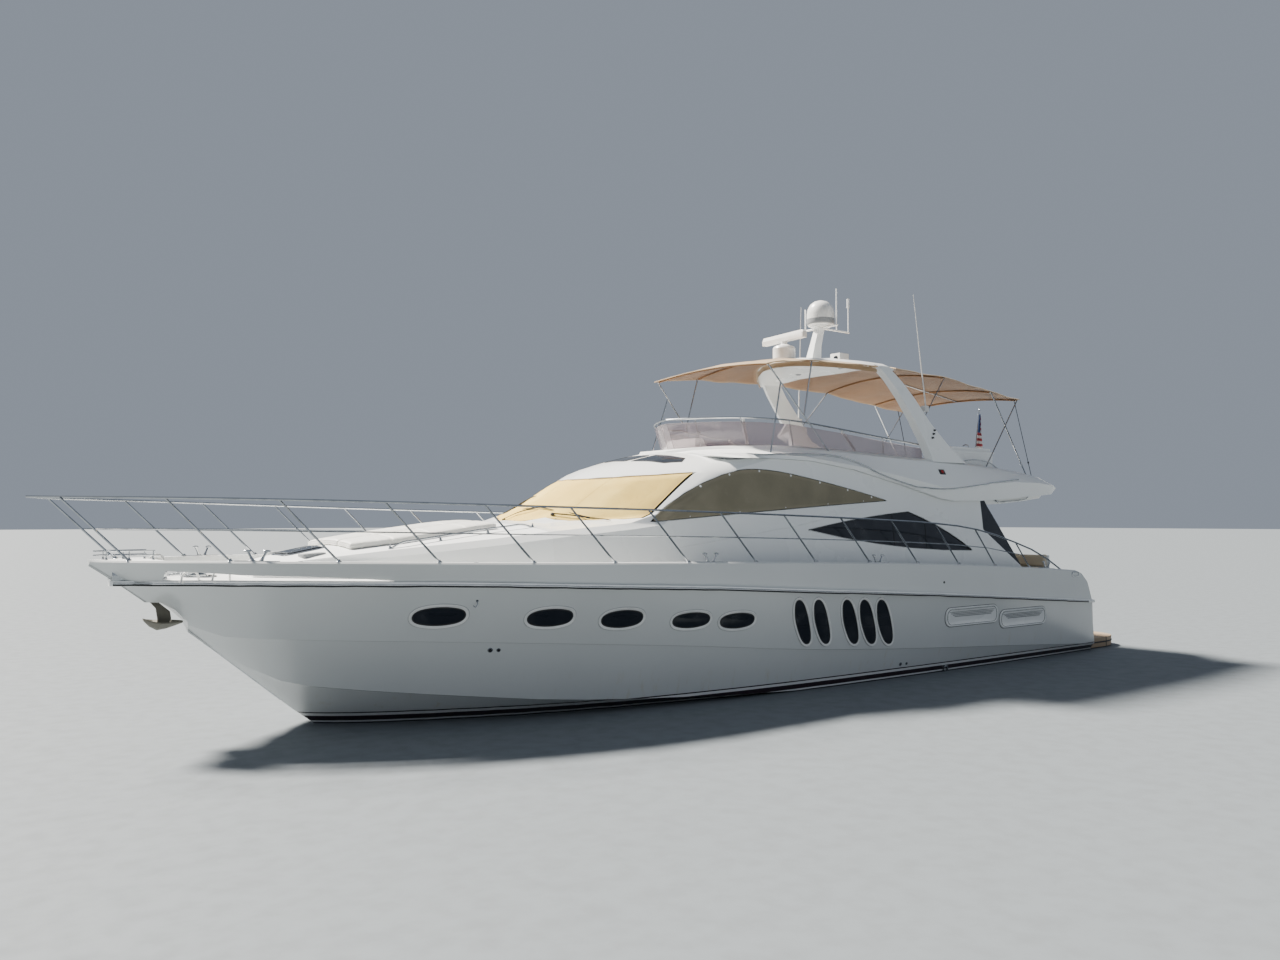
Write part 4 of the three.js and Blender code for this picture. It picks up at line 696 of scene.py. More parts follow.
class Skin:
    """The outside of some nodes, felt for from a side or from above."""

    def __init__(self, *names):
        points, faces = [], []
        for name in names:
            start = len(points)
            points += [vertex.co.copy() for vertex in NODES[name].data.vertices]
            faces += [[start + i for i in face.vertices] for face in NODES[name].data.polygons]
        self.tree = BVHTree.FromPolygons(points, faces)

    def hit(self, start, way):
        """Where a ray meets the skin, and the normal there. Both are None for a miss."""
        return self.tree.ray_cast(Vector(start), Vector(way))[:2]

    def feel(self, start, way):
        """The same with the normal facing the start. A miss takes the spot nearest to the ray."""
        at, normal = self.hit(start, way)
        if at is None:
            spots = [Vector(start) + Vector(way) * 0.2 * k for k in range(45)]
            near = [self.tree.find_nearest(spot) for spot in spots]
            at, normal = min(near, key=lambda found: found[3])[:2]
        return at, -normal if normal.dot(Vector(way)) > 0 else normal

    def side(self, side, x, z):
        return self.feel((x, side * BESIDE, z), (0, -side, 0))

    def on(self, side):
        """A function that feels for (x, z) on one side."""
        return lambda x, z: self.side(side, x, z)

    def top(self, x, y, high=ABOVE):
        return self.feel((x, y, high), (0, 0, -1))

    def hits_side(self, side, x, z):
        return self.hit((x, side * BESIDE, z), (0, -side, 0))[0] is not None


def laid(feel, points, lift):
    """A line of points laid on a surface and lifted off it; feel gives the surface's point and normal."""
    return [at + normal * lift for at, normal in (feel(*point) for point in points)]


def moulding(form, feel, outline, rows, tag=0):
    """A ring round an outline; rows are (growth of the outline, height over the surface)."""
    form.loft([laid(feel, grown(outline, grow), lift) for grow, lift in rows], tag, ring=True)


def pane(form, feel, outline, rows, tag=0):
    """A pane inside an outline; rows are (share of its size, height over the surface)."""
    form.loft([laid(feel, scaled(outline, share), lift) for share, lift in rows], tag)


# Cloth


def border(down, across):
    """Row and column of a grid's outer cells, once round."""
    return (
        [(0, j) for j in range(across)]
        + [(i, across - 1) for i in range(1, down)]
        + [(down - 1, j) for j in range(across - 2, -1, -1)]
        + [(i, 0) for i in range(down - 2, 0, -1)]
    )


def gone(line):
    """The way gone along a line at each of its points."""
    marks = [0.0]
    for a, b in zip(line, line[1:]):
        marks.append(marks[-1] + (b - a).length)
    return marks


def cloth_shell(name, rows, looks, thick, hem, outside=(0, 0, 1)):
    """A closed thin sheet from a grid of points, with its flat place as UV and its hem marked.

    The grid is its outer face; the second look, if any, is on the other one.
    """
    down, across = len(rows), len(rows[0])
    point = [[Vector(p) for p in row] for row in rows]
    along_u = gone(point[down // 2])
    along_v = gone([row[across // 2] for row in point])
    top, under = [], []
    for i in range(down):
        for j in range(across):
            du = point[i][min(j + 1, across - 1)] - point[i][max(j - 1, 0)]
            dv = point[min(i + 1, down - 1)][j] - point[max(i - 1, 0)][j]
            normal = du.cross(dv).normalized()
            if normal.dot(Vector(outside)) < 0:
                normal = -normal
            top.append(point[i][j])
            under.append(point[i][j] - normal * thick)
    count = len(top)
    corners = [i * across + j for i in range(down - 1) for j in range(across - 1)]
    cells = [(k, k + 1, k + across + 1, k + across) for k in corners]
    edge = [i * across + j for i, j in border(down, across)]
    form = Form()
    form.put(top + under, cells)
    backs = [tuple(count + i for i in reversed(cell)) for cell in cells]
    sides = [(b, a, a + count, b + count) for a, b in zip(edge, edge[1:] + edge[:1])]
    form.faces += backs + sides
    form.tags += [len(looks) - 1] * len(backs) + [0] * len(sides)
    piece = make_piece(name, form, looks, sharp=70)
    mesh = piece.data
    flat = mesh.uv_layers.new(name="flat")
    place = [(along_u[k % count % across], along_v[k % count // across]) for k in range(2 * count)]
    for loop in mesh.loops:
        flat.data[loop.index].uv = place[loop.vertex_index]
    mark = mesh.attributes.new("hem", "FLOAT", "POINT")
    wide, tall = along_u[-1], along_v[-1]
    for k, (u, v) in enumerate(place):
        mark.data[k].value = 1.0 if min(u, wide - u, v, tall - v) < hem else 0.0
    return piece, (round(wide, 3), round(tall, 3))


# Feeling for the surfaces that small pieces sit on

HULL = Skin("hull")
DECK = Skin("deck")
HOUSE = Skin("deckhouse", "flybridge")
CABIN_TOP = Skin("coachroof", "deckhouse", "flybridge", "windscreen")
BELT = Skin("rub_rail")
ARCH = Skin("radar_arch")
SIDES = (("port", 1), ("starboard", -1))


def gunwale(x):
    """The outer edge of the bulwark's cap on the port side: y and z."""
    z = 2.3
    while z > 1.2 and not DECK.hits_side(1, x, z):
        z -= 0.003
    return DECK.side(1, x, z - 0.03)[0].y, z


def cap_point(x, side, inset):
    """A point on the bulwark's cap, inset from its outer edge."""
    y, z = gunwale(x)
    return Vector((x, side * (y - inset), z))


# Hull fittings

# centre x, centre z, width, height
PORT_LIGHTS = [
    (6.904, 1.477, 0.609, 0.222),
    (5.497, 1.409, 0.602, 0.218),
    (4.438, 1.343, 0.630, 0.226),
    (3.283, 1.262, 0.635, 0.205),
    (2.440, 1.209, 0.628, 0.211),
]
# width, top x and z, bottom x and z
SLANTED_LIGHTS = [
    (0.257, (1.280, 1.453), (0.958, 0.764)),
    (0.268, (0.861, 1.439), (0.533, 0.739)),
    (0.282, (0.215, 1.408), (-0.122, 0.692)),
    (0.292, (-0.197, 1.389), (-0.541, 0.662)),
    (0.301, (-0.612, 1.369), (-0.962, 0.632)),
]
# centre x, centre z, length, height
ENGINE_INTAKES = [(-3.174, 0.975, 1.509, 0.283), (-4.809, 0.851, 1.495, 0.289)]
# growth of the outline or share of its size, and height over the hull
TRIM_ROWS = [(0.050, -0.004), (0.046, 0.011), (0.038, 0.014)]
TRIM_ROWS += [(0.010, 0.003), (0.004, 0.001), (0.004, -0.004)]
GASKET_ROWS = [(0.013, -0.004), (0.011, 0.007), (-0.004, 0.007), (-0.007, -0.004)]
PANE_ROWS = [(0.985, -0.004), (0.985, 0.002), (0.7, 0.0035), (0.35, 0.0045), (0.05, 0.0048)]
LIP_ROWS = [(0.030, -0.004), (0.026, 0.012), (0.014, 0.022)]
LIP_ROWS += [(-0.002, 0.018), (-0.012, 0.003), (-0.012, -0.004)]
DISH_ROWS = [(1.0, -0.004), (1.0, 0.017), (0.93, 0.012), (0.7, 0.002), (0.4, 0.001)]
INTAKE_LEAN = 0.22  # forward for each metre up
# Small profiles that are turned: radius and height over the surface
FITTING_RIM = [(1, -0.01), (1, 0.004), (0.9, 0.009), (0.6, 0.01), (0.55, 0.0), (0, 0.0)]  # radius as a share
EXHAUST_LIP = [(0.06, -0.02), (0.062, 0.03), (0.055, 0.034), (0.044, 0.03), (0.044, -0.01)]
EXHAUST_BORE = [(0.043, -0.015), (0.043, 0.0), (0, 0.0)]
EYE_BASE = [(0.018, -0.003), (0.017, 0.005), (0, 0.007)]
DRAIN_CAP = [(0.022, -0.003), (0.021, 0.006), (0, 0.008)]
CAP_PLUG = [(0.03, -0.002), (0.03, 0.004), (0.012, 0.006), (0, 0.006)]
STAFF_TRUCK = [(0.014, -0.02), (0.020, 0.0), (0.022, 0.02), (0.014, 0.036), (0, 0.04)]
STAFF_SOCKET = [(0.028, 0.0), (0.028, 0.05), (0.018, 0.07)]
DECK_LIGHT = [(0.020, -0.004), (0.020, 0.010), (0.012, 0.016), (0.012, 0.030), (0.018, 0.034), (0, 0.038)]
ARCH_LAMP = [(0.058, 0.004), (0.058, -0.008), (0.045, -0.014), (0.043, -0.006), (0, -0.006)]
CAMERA_RIM = [(0.052, -0.02), (0.052, 0.006), (0.044, 0.010), (0.042, 0.002), (0, 0.002)]
CAMERA_LENS = [(0.040, 0.001), (0.036, 0.006), (0, 0.012)]
GAUGE = [(0.026, 0), (0.026, 0.010), (0.022, 0.014), (0, 0.014)]
SWITCH = [(0.009, 0), (0.009, 0.010), (0, 0.014)]
LEVER_KNOB = [(0.004, -0.012), (0.015, -0.004), (0.015, 0.010), (0.004, 0.016)]
LOCKER_PULL = [(0.018, 0), (0.018, 0.006), (0.010, 0.010)]
FOOT_SWITCH = [(0.045, 0.0), (0.045, 0.012), (0.03, 0.016)]
LASHING_DISH = [(0.035, -0.002), (0.035, 0.004), (0.028, 0.006), (0.026, 0.001), (0, 0.001)]
DOOR_PULL = [(0.05, -0.002), (0.05, 0.005), (0.040, 0.008), (0.036, 0.001), (0, 0.001)]
GATE_CATCH = [(0.02, 0), (0.02, 0.02), (0.012, 0.024)]
HATCH_CATCH = [(0.020, 0), (0.020, 0.008), (0.012, 0.012), (0, 0.012)]
# x and z on the hull's side, and of the last on the bulwark
EXHAUST, BOW_EYE, DECK_DRAIN = (-2.667, 0.055), (6.504, 1.668), (-2.284, 1.6)
LOUVRES, LOUVRE_DROP = 4, 0.026
STEM_FOOT, STEM_PITCH, STEM_ROWS = 0.35, 0.05, 17  # heights at which the stem guard is laid
SHOE_HALF = 0.055  # the stem guard's greatest half width
# x, z and radius
SKIN_FITTINGS = [(6.176, 1.002, 0.035), (6.07, 0.998, 0.028), (-1.401, 0.238, 0.032), (-1.56, 0.236, 0.026)]


def barrel(x, z, wide, tall, steps=18):
    """An outline bowed above and below, with blunt rounded ends."""
    shares = [math.sin(math.pi * (i / steps - 0.5)) for i in range(steps + 1)]
    rise = [tall / 2 * (1 - 0.45 * s * s) * math.sqrt(1 - abs(s) ** 10) for s in shares]
    over = [(x + s * wide / 2, z + up) for s, up in zip(shares, rise)]
    under = [(x + s * wide / 2, z - up) for s, up in zip(shares, rise)]
    return over + under[-2:0:-1]


def leaf(wide, top, bottom):
    """The same bowed outline standing up and leaning, its width set level."""
    long = top[1] - bottom[1]
    upright = barrel(0, 0, long, wide)
    lean = (top[0] - bottom[0]) / long
    middle = ((top[0] + bottom[0]) / 2, (top[1] + bottom[1]) / 2)
    return [(middle[0] + across + lean * up, middle[1] + up) for up, across in upright]


def make_hull_lights():
    outlines = [barrel(*row) for row in PORT_LIGHTS] + [leaf(*row) for row in SLANTED_LIGHTS]
    for word, side in SIDES:
        trims, panes, on_hull = Form(), Form(), HULL.on(side)
        for outline in outlines:
            moulding(trims, on_hull, outline, TRIM_ROWS)
            moulding(trims, on_hull, outline, GASKET_ROWS, 1)
            # A thin grey line just outside each trim: a painted shadow gap round it.
            trims.tube(laid(on_hull, grown(outline, 0.051), 0.0005), 0.0028, 6, 2, ring=True)
            pane(panes, on_hull, outline, PANE_ROWS)
        make_piece("hull_light_trims_" + word, trims, ["radome", "rubber", "grey"])
        make_piece("hull_light_panes_" + word, panes, "glass")


def make_engine_intakes():
    """Dished panels with a raised lip and four louvres each, and dark rubber rings outside the lip and along
    its inner edge as painted shadow lines.
    """
    for word, side in SIDES:
        form, on_hull = Form(), HULL.on(side)
        for x, z, wide, tall in ENGINE_INTAKES:
            aft, fore = x - wide / 2, x + wide / 2
            upright = rounded((aft, z - tall / 2), (fore, z + tall / 2), 0.115, 5)
            outline = [(u + INTAKE_LEAN * (v - z), v) for u, v in upright]
            moulding(form, on_hull, outline, LIP_ROWS)
            pane(form, on_hull, outline, DISH_ROWS)
            # Dark rubber rings: painted shadow lines round the lip and inside its edge.
            form.tube(laid(on_hull, grown(outline, 0.031), 0.002), 0.005, 6, 2, ring=True)
            form.tube(laid(on_hull, scaled(outline, 0.965), 0.016), 0.004, 6, 2, ring=True)
            for k in range(LOUVRES):
                level = z + 0.088 - LOUVRE_DROP * k
                run = spread(aft + 0.10 + 0.03 * k, fore - 0.06 - 0.06 * k, 12)
                form.tube(laid(on_hull, [(u, level) for u in run], 0.007), 0.0065, 6, 1)
        make_piece("engine_intakes_" + word, form, ["gel", "grey", "rubber"])


def make_outlets():
    """Skin fittings, the exhaust at the waterline, and the eyes and dots on the topsides."""
    for word, side in SIDES:
        form = Form()
        for x, z, radius in SKIN_FITTINGS:
            at, normal = HULL.side(side, x, z)
            form.turned([(radius * share, along) for share, along in FITTING_RIM], at, normal)
            form.turned([(radius * 0.5, -0.004), (radius * 0.5, 0.003), (0, 0.004)], at, normal, tag=1)
        exhaust = HULL.side(side, *EXHAUST)
        form.turned(EXHAUST_LIP, *exhaust)
        form.turned(EXHAUST_BORE, *exhaust, tag=1)
        at, normal = HULL.side(side, *BOW_EYE)
        form.turned(EYE_BASE, at, normal)
        root, bend = at + normal * 0.006, at + normal * 0.022 + Vector((0, 0, -0.03))
        hook = [root, bend, bend + Vector((0.03, 0, -0.035)), bend + Vector((0.06, 0, -0.015))]
        form.tube(eased(hook), 0.006, 8)
        form.turned(DRAIN_CAP, *DECK.side(side, *DECK_DRAIN), tag=1)
        make_piece("skin_fittings_" + word, form, ["steel", "black"])


def belt_heights(x):
    """Heights at which the belt is met from the side."""
    low, high = (corner[2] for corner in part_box("rub_rail"))
    return [z for z in spread(low, high, 120) if BELT.hits_side(1, x, z)]


def make_belt_shadow_line():
    """A dark strip along the belt's outer face as a painted shadow line under the belt, and the steel line
    over it.
    """
    for word, side in SIDES:
        strip, cover = [], []
        for x in [-7.05 + 0.25 * i for i in range(69)] + [10.12, 10.2, 10.26, 10.3]:
            y, z = max((abs(BELT.side(side, x, height)[0].y), height) for height in belt_heights(x))
            strip.append((x, side * (y - 0.001), z - 0.016))
            cover.append((x, side * (y + 0.001), z + 0.008))
        form = Form()
        # The dark strip: a painted shadow line under the belt.
        form.tube(strip, 0.011, 8, 0)
        form.tube(cover, 0.006, 8, 1)
        make_piece("belt_shadow_line_" + word, form, ["rubber", "steel"])


def make_stem_guard():
    """A steel shoe on the stem, from the anchor's pocket down to the water."""
    form, loops = Form(), []
    for k in range(STEM_ROWS):
        at = HULL.hit((12, 0, STEM_FOOT + STEM_PITCH * k), (-1, 0, 0))[0]
        if at is None:
            continue
        port, starboard = (HULL.side(side, at.x - 0.09, at.z)[0].y for side in (1, -1))
        wings = [(-0.09, min(port, SHOE_HALF) + 0.004), (-0.09, max(starboard, -SHOE_HALF) - 0.004)]
        section = [wings[0], (-0.02, 0.034), (0.007, 0.0), (-0.02, -0.034), wings[1], (-0.11, 0.0)]
        loops.append([(at.x + dx, y, at.z) for dx, y in section])
    form.loft(loops)
    make_piece("stem_guard", form, "steel")


# Deck gear

RAIL_RADIUS = 0.0125  # of the grab rails' tube

def horn_cleat(form, at, along, length):
    """Two leaning legs with a horn on each, seen end to end as an open V."""
    up = Vector((0, 0, 1))
    for way in (-1, 1):
        foot = at + along * way * length * 0.13
        head = at + along * way * length * 0.30 + up * 0.115
        form.tube([foot, foot.lerp(head, 0.5), head], [0.022, 0.014, 0.017])
        horn = [head + along * shift for shift in (-0.045, -0.03, 0, 0.03, 0.045)]
        form.tube(horn, [0.006, 0.013, 0.018, 0.013, 0.006])
        form.turned([(0.032, -0.002), (0.032, 0.006), (0.022, 0.012)], foot, up, 12)


def rail_foot(form, at, up, radius=0.036):
    profile = [(1, -0.004), (1, 0.006), (0.7, 0.012), (0.62, 0.03)]
    form.turned([(radius * share, along) for share, along in profile], at, up, 14)


# x of each stanchion's foot, small plug on the bulwark's cap, and fairlead
STANCHIONS = [10.20, 9.25, 8.16, 7.04, 5.86, 4.68, 3.43, 2.13, 0.84, -0.43, -1.67, -2.84, -3.95, -5.09]
CAP_PLUGS = [8.55, 6.6, -3.3]
FAIRLEADS = [9.62, 9.30]
CHAIN_START, CHAIN_PITCH, CHAIN_LINKS = 9.47, 0.027, 22
HATCH_CORNERS = ((7.85, -0.26), (8.33, 0.26))
VENTS = [(8.12, 0.60), (8.12, -0.60)]
# centre x of each pair of mooring posts and the length of the plate under it
MOORING_CLEATS = [(8.985, 0.52), (3.02, 0.62), (-0.63, 0.52), (-5.70, 0.5)]


def make_deck_gear():
    """Mooring posts on their plates, stanchion feet, cap plugs and the stern fairleads."""
    for word, side in SIDES:
        form = Form()
        for x, length in MOORING_CLEATS:
            half = length / 2
            aft, fore = cap_point(x - half, side, 0.055), cap_point(x + half, side, 0.055)
            along, middle = (fore - aft).normalized(), (aft + fore) / 2
            place = Matrix.Translation(middle) @ along.to_track_quat("X", "Z").to_matrix().to_4x4()
            form.block((-half, -0.035, -0.004), (half, 0.035, 0.008), 0.003, 0.03, 0, place)
            horn_cleat(form, middle + Vector((0, 0, 0.006)), along, 0.36)
        for x in STANCHIONS:
            rail_foot(form, cap_point(x, side, 0.06), (0.25, 0, 1))
        for x in CAP_PLUGS:
            form.turned(CAP_PLUG, cap_point(x, side, 0.065))
        outline = rounded((-6.80, 1.555), (-6.55, 1.635), 0.035)
        rows = [(0.014, -0.004), (0.012, 0.006), (0.0, 0.009), (-0.006, 0.002)]
        moulding(form, DECK.on(side), outline, rows)
        make_piece("deck_gear_" + word, form, "steel")


def make_bow_gear():
    """Anchor roller cheeks, the chain and the fairleads at the bow."""
    form, chain = Form(), Form()
    deck = DECK.top(9.6, 0)[0].z
    for y in (-0.13, 0.13):
        place = Matrix.Translation((10.02, y, deck + 0.06))
        form.block((-0.3, -0.008, -0.07), (0.3, 0.008, 0.05), 0.004, 0.004, 0, place)
    for i in range(CHAIN_LINKS):
        middle = Vector((CHAIN_START + i * CHAIN_PITCH, 0.02, deck + 0.028 + 0.02 * math.sin(i * 0.35)))
        link = [(0.021 * math.cos(turn), 0.011 * math.sin(turn)) for turn in turns(12)]
        ring = [middle + Vector((long, wide, 0) if i % 2 else (long, 0, wide)) for long, wide in link]
        chain.tube(ring, 0.0045, 6, ring=True)
    make_piece("anchor_chain", chain, "steel")
    for _, side in SIDES:
        for x in FAIRLEADS:
            base = DECK.top(x, side * (gunwale(x)[0] - 0.20))[0]
            hoop = [(-0.10, 0), (-0.09, 0.09), (-0.02, 0.14), (0.07, 0.10), (0.10, 0)]
            form.tube(eased([base + Vector((dx, 0, dz)) for dx, dz in hoop], 4), 0.013, 8, 1)
    make_piece("bow_fairleads", form, ["steel", "whip"])


def make_roller_guard():
    """A low double rail round the bow's tip, over the anchor roller."""
    form = Form()
    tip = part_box("deck")[1][0] - 0.05
    base = DECK.top(tip - 0.12, 0)[0].z
    half = [(tip - 0.62, 0.24), (tip - 0.35, 0.17), (tip - 0.12, 0.10), (tip, 0.0)]
    loop = half + [(x, -y) for x, y in half[-2::-1]]
    for lift in (0.055, 0.105):
        form.tube(eased([(x, y, base + lift) for x, y in loop], 5), 0.008, 8)
    for x, y in ((-0.60, 0.235), (-0.35, 0.17), (-0.12, 0.10)):
        for _, side in SIDES:
            foot = DECK.top(tip + x, side * y)[0]
            form.tube([foot, (foot.x, foot.y, base + 0.105)], 0.007, 8)
            rail_foot(form, foot, (0, 0, 1), 0.018)
    make_piece("bow_roller_guard", form, "steel")


def make_roof_rails():
    """Grab rails along both sides of the coachroof."""
    form, steps, lift = Form(), 12, 0.055
    for _, side in SIDES:
        line = []
        for i in range(steps + 1):
            at = CABIN_TOP.top(7.30 - 2.10 * i / steps, side * (1.12 + 0.03 * i / steps))[0]
            line.append(at + Vector((0, 0, lift if 0 < i < steps else 0.0)))
        form.tube(eased(line, 3), RAIL_RADIUS)
        for i in (0, 4, 8, 12):
            foot = CABIN_TOP.top(line[i].x, line[i].y)[0]
            form.tube([foot, (line[i].x, line[i].y, foot.z + lift)], 0.011, 8)
            rail_foot(form, foot, (0, 0, 1), 0.026)
    make_piece("coachroof_rails", form, "steel")


def make_hatch_frame():
    """The steel frame round the foredeck hatch, and two vents aside of it."""
    form, boxes = Form(), Form()
    outline = rounded(*HATCH_CORNERS, 0.06, 5)
    loops = []
    for grow, lift in ((0.042, -0.004), (0.040, 0.010), (0.026, 0.016), (0.010, 0.014), (0.008, 0.004)):
        loops.append([CABIN_TOP.top(u, v)[0] + Vector((0, 0, lift)) for u, v in grown(outline, grow)])
    form.loft(loops, 0, ends=False)
    make_piece("foredeck_hatch_frame", form, "steel", outward=False)
    for spot in VENTS:
        at = CABIN_TOP.top(*spot)[0]
        tilt = Matrix.Translation(at) @ Matrix.Rotation(math.radians(4), 4, "Y")
        boxes.block((-0.15, -0.11, -0.03), (0.15, 0.11, 0.025), 0.008, 0.03, 0, tilt)
    make_piece("deck_vents", boxes, "grey")


# Cloth pieces

# x, height of the edge and of the middle, half width
CANOPY_FORE = [
    (0.950, 5.250, 5.330, 1.490),
    (0.600, 5.330, 5.440, 1.520),
    (-0.150, 5.400, 5.560, 1.530),
    (-0.690, 5.412, 5.610, 1.530),
    (-1.750, 5.440, 5.650, 1.530),
]
CANOPY_AFT = [
    (-2.200, 5.450, 5.665, 1.530),
    (-2.660, 5.440, 5.640, 1.530),
    (-3.760, 5.412, 5.590, 1.530),
    (-5.300, 5.250, 5.400, 1.520),
    (-6.280, 5.160, 5.270, 1.490),
]
# distance from the middle, fore edge and aft edge of the arch's wing
ARCH_WING = [
    (1.62, -1.89, -2.24),
    (1.5, -1.74, -2.27),
    (1.3, -1.49, -2.33),
    (0.9, -1.10, -2.44),
    (0.45, -0.80, -2.56),
    (0.0, -0.70, -2.62),
]
VALANCE_DROP = 0.10  # height of the flap over the arch's front
CANOPY_HALF = 1.53  # the canopies' half width beside the arch
# x of the tubes in each canopy's sleeves, and of the last place that holds it before the arch
FORE_HOOPS, FORE_HOLD = (0.90, -0.10), -1.2
AFT_HOOPS, AFT_HOLD = (-3.76, -5.30, -6.25), -2.45


def between_rows(rows, key):
    """A row at the key, from a table sorted downwards by its first column."""
    for a, b in zip(rows, rows[1:]):
        if key >= b[0]:
            break
    t = (key - a[0]) / (b[0] - a[0])
    return [u + (v - u) * t for u, v in zip(a, b)]


def canopy_top(rows, x, y):
    _, edge, middle, half = between_rows(rows, x)
    return middle + (edge - middle) * (y / half) ** 2


def make_canopy(word, rows, hoops, hold, arch_column):
    """One sheet held by hoops, sagging a little between them, edge to edge with the arch."""
    held = sorted([*hoops, hold], reverse=True)
    down, across = 37, 49
    grid = []
    for share in spread(-1, 1, down - 1):
        arch = between_rows(ARCH_WING, abs(share * CANOPY_HALF))[arch_column]
        start, end = (rows[0][0], arch + 0.005) if arch_column == 1 else (arch - 0.005, rows[-1][0])
        line = []
        for x in spread(start, end, across - 1):
            y = share * between_rows(rows, x)[3]
            sag = 0.0
            for a, b in zip(held, held[1:]):
                if b <= x <= a:
                    sag = 0.016 * math.sin(math.pi * (x - a) / (b - a)) ** 2
            sag *= 1 - 0.9 * math.exp(-((y / 0.16) ** 2))
            pull = 0.004 * math.sin(9 * x + 5 * y) * abs(share) ** 3
            line.append((x, y, canopy_top(rows, x, y) - 0.004 - sag + pull))
        grid.append(line)
    # The sheet's under face, and the sleeves under it, take the underside tone of painted shade and glow.
    piece, _ = cloth_shell("canopy_" + word + "_cloth", grid, ["shade_top", "shade_under"], 0.006, 0.045)
    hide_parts("canopy_" + word)
    binding, sleeves = Form(), Form()
    rim = [grid[i][j] for i, j in border(down, across)]
    binding.tube([(x, y, z - 0.004) for x, y, z in rim], 0.0085, 8, ring=True)
    hem = make_piece("canopy_" + word + "_binding", binding, "shade_top")
    for x in hoops:
        half = between_rows(rows, x)[3] - 0.075
        sleeves.tube([(x, y, canopy_top(rows, x, y) - 0.0265) for y in spread(-half, half, 24)], 0.0185, 12)
    sleeve = make_piece("canopy_" + word + "_sleeves", sleeves, "shade_under")


def make_arch_valance():
    """A flap of the canopy's cloth laced down over the front of the arch's wing."""
    grid = []
    for y in spread(-1.5, 1.5, 40):
        edge = between_rows(ARCH_WING, abs(y))[1]
        top = canopy_top(CANOPY_FORE, edge, y) - 0.016
        line = []
        for z in spread(top, top - VALANCE_DROP, 5):
            at = ARCH.feel((edge + 0.6, y, z), (-1, 0, 0))[0]
            line.append((max(at.x, edge - 0.05) + 0.009, y, z))
        grid.append(line)
    flap, size = cloth_shell("arch_valance", grid, ["shade_top"], 0.004, 0.012, (1, 0, 0))


# ends of the port strap, half its width and thickness, half the size of its buckle and its place
STRAP_HEAD, STRAP_FOOT = (-6.10, 1.47, 5.17), (-6.62, 1.52, 3.60)
WEB_WIDE, WEB_THICK = Vector((0.0125, 0, 0)), Vector((0, 0.0012, 0))
BUCKLE_HALF, BUCKLE_SHARE = Vector((0.022, 0.006, 0.02)), 0.83


def make_canopy_straps():
    """Webbing with a buckle from the aft corners of the canopy down to the flybridge's edge."""
    form = Form()
    for _, side in SIDES:
        head, foot = (Vector((x, side * y, z)) for x, y, z in (STRAP_HEAD, STRAP_FOOT))
        middles = [head.lerp(foot, t) for t in spread(0, 1, 12)]
        form.loft([[at + WEB_WIDE, at + WEB_THICK, at - WEB_WIDE, at - WEB_THICK] for at in middles])
        at = head.lerp(foot, BUCKLE_SHARE)
        form.block(at - BUCKLE_HALF, at + BUCKLE_HALF, 0.002)
    make_piece("canopy_straps", form, "rubber")


SCREEN_LOW = (4.960, 1.695, 0.0)  # x in the middle, half width, extra sweep at the corners
SCREEN_HIGH = (3.840, 1.560, 0.220)
SWEEP = 0.45  # how fast the screen's edges run aft from the middle


def make_windscreen_cover():
    """A canvas cover snapped round the windscreen, a little slack over it."""
    skin = Skin("windscreen_cover")
    last, head = 40, 28  # the last line across the screen, and the last point up it
    grid = []
    for share in spread(-1, 1, last):
        line = []
        for t in spread(0, 1, head):
            y = (SCREEN_LOW[1] + (SCREEN_HIGH[1] - SCREEN_LOW[1]) * t - 0.03) * share
            low = SCREEN_LOW[0] - 0.02 - SWEEP * y * y - SCREEN_LOW[2] * share**2
            high = SCREEN_HIGH[0] + 0.02 - SWEEP * y * y - SCREEN_HIGH[2] * share**2
            x = low + (high - low) * t
            inside = max(0.0, 1 - abs(2 * t - 1) ** 4) * max(0.0, 1 - share**6)
            slack = 0.0035 * inside * (1 + 0.8 * math.sin(7 * y + 3 * t) * math.cos(11 * t + y))
            crease = 0.003 * math.exp(-(((t - 0.12 - 0.3 * (1 - abs(share))) / 0.05) ** 2)) * inside
            line.append((x, y, skin.top(x, y)[0].z + 0.0025 + slack + crease))
        grid.append(line)
    piece, size = cloth_shell("windscreen_canvas", grid, ["cream"], 0.004, 0.035)
    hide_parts("windscreen_cover")
    foot, top = [line[0] for line in grid], [line[-1] for line in grid]
    trims, studs = Form(), Form()
    # line, its lift, its radius and its look
    edges = [(grid[0], 0.001, 0.005, 0), (grid[last], 0.001, 0.005, 0)]
    seams = [(grid[k], -0.0015, 0.0032, 0) for k in (10, 20, 30)]
    for line, lift, radius, tag in edges + seams + [(foot, 0.0, 0.005, 0), (top, 0.001, 0.009, 1)]:
        trims.tube([(x, y, z + lift) for x, y, z in line], radius, 6, tag)
    binding = make_piece("windscreen_canvas_seams", trims, ["cream", "tan_hem"])
    for i in range(2, last, 4):
        for (x, y, _), inward in ((foot[i], -0.014), (top[i], 0.014)):
            at, normal = skin.top(x + inward, y)
            snap_stud(studs, (x + inward, y, at.z + 0.004), normal)
    snaps = make_piece("windscreen_canvas_studs", studs, "steel")


def snap_stud(form, at, up, radius=0.0085):
    profile = [(1, -0.001), (1, 0.0025), (0.8, 0.0045), (0.45, 0.0048), (0, 0.0035)]
    form.turned([(radius * share, along) for share, along in profile], at, up, 10)


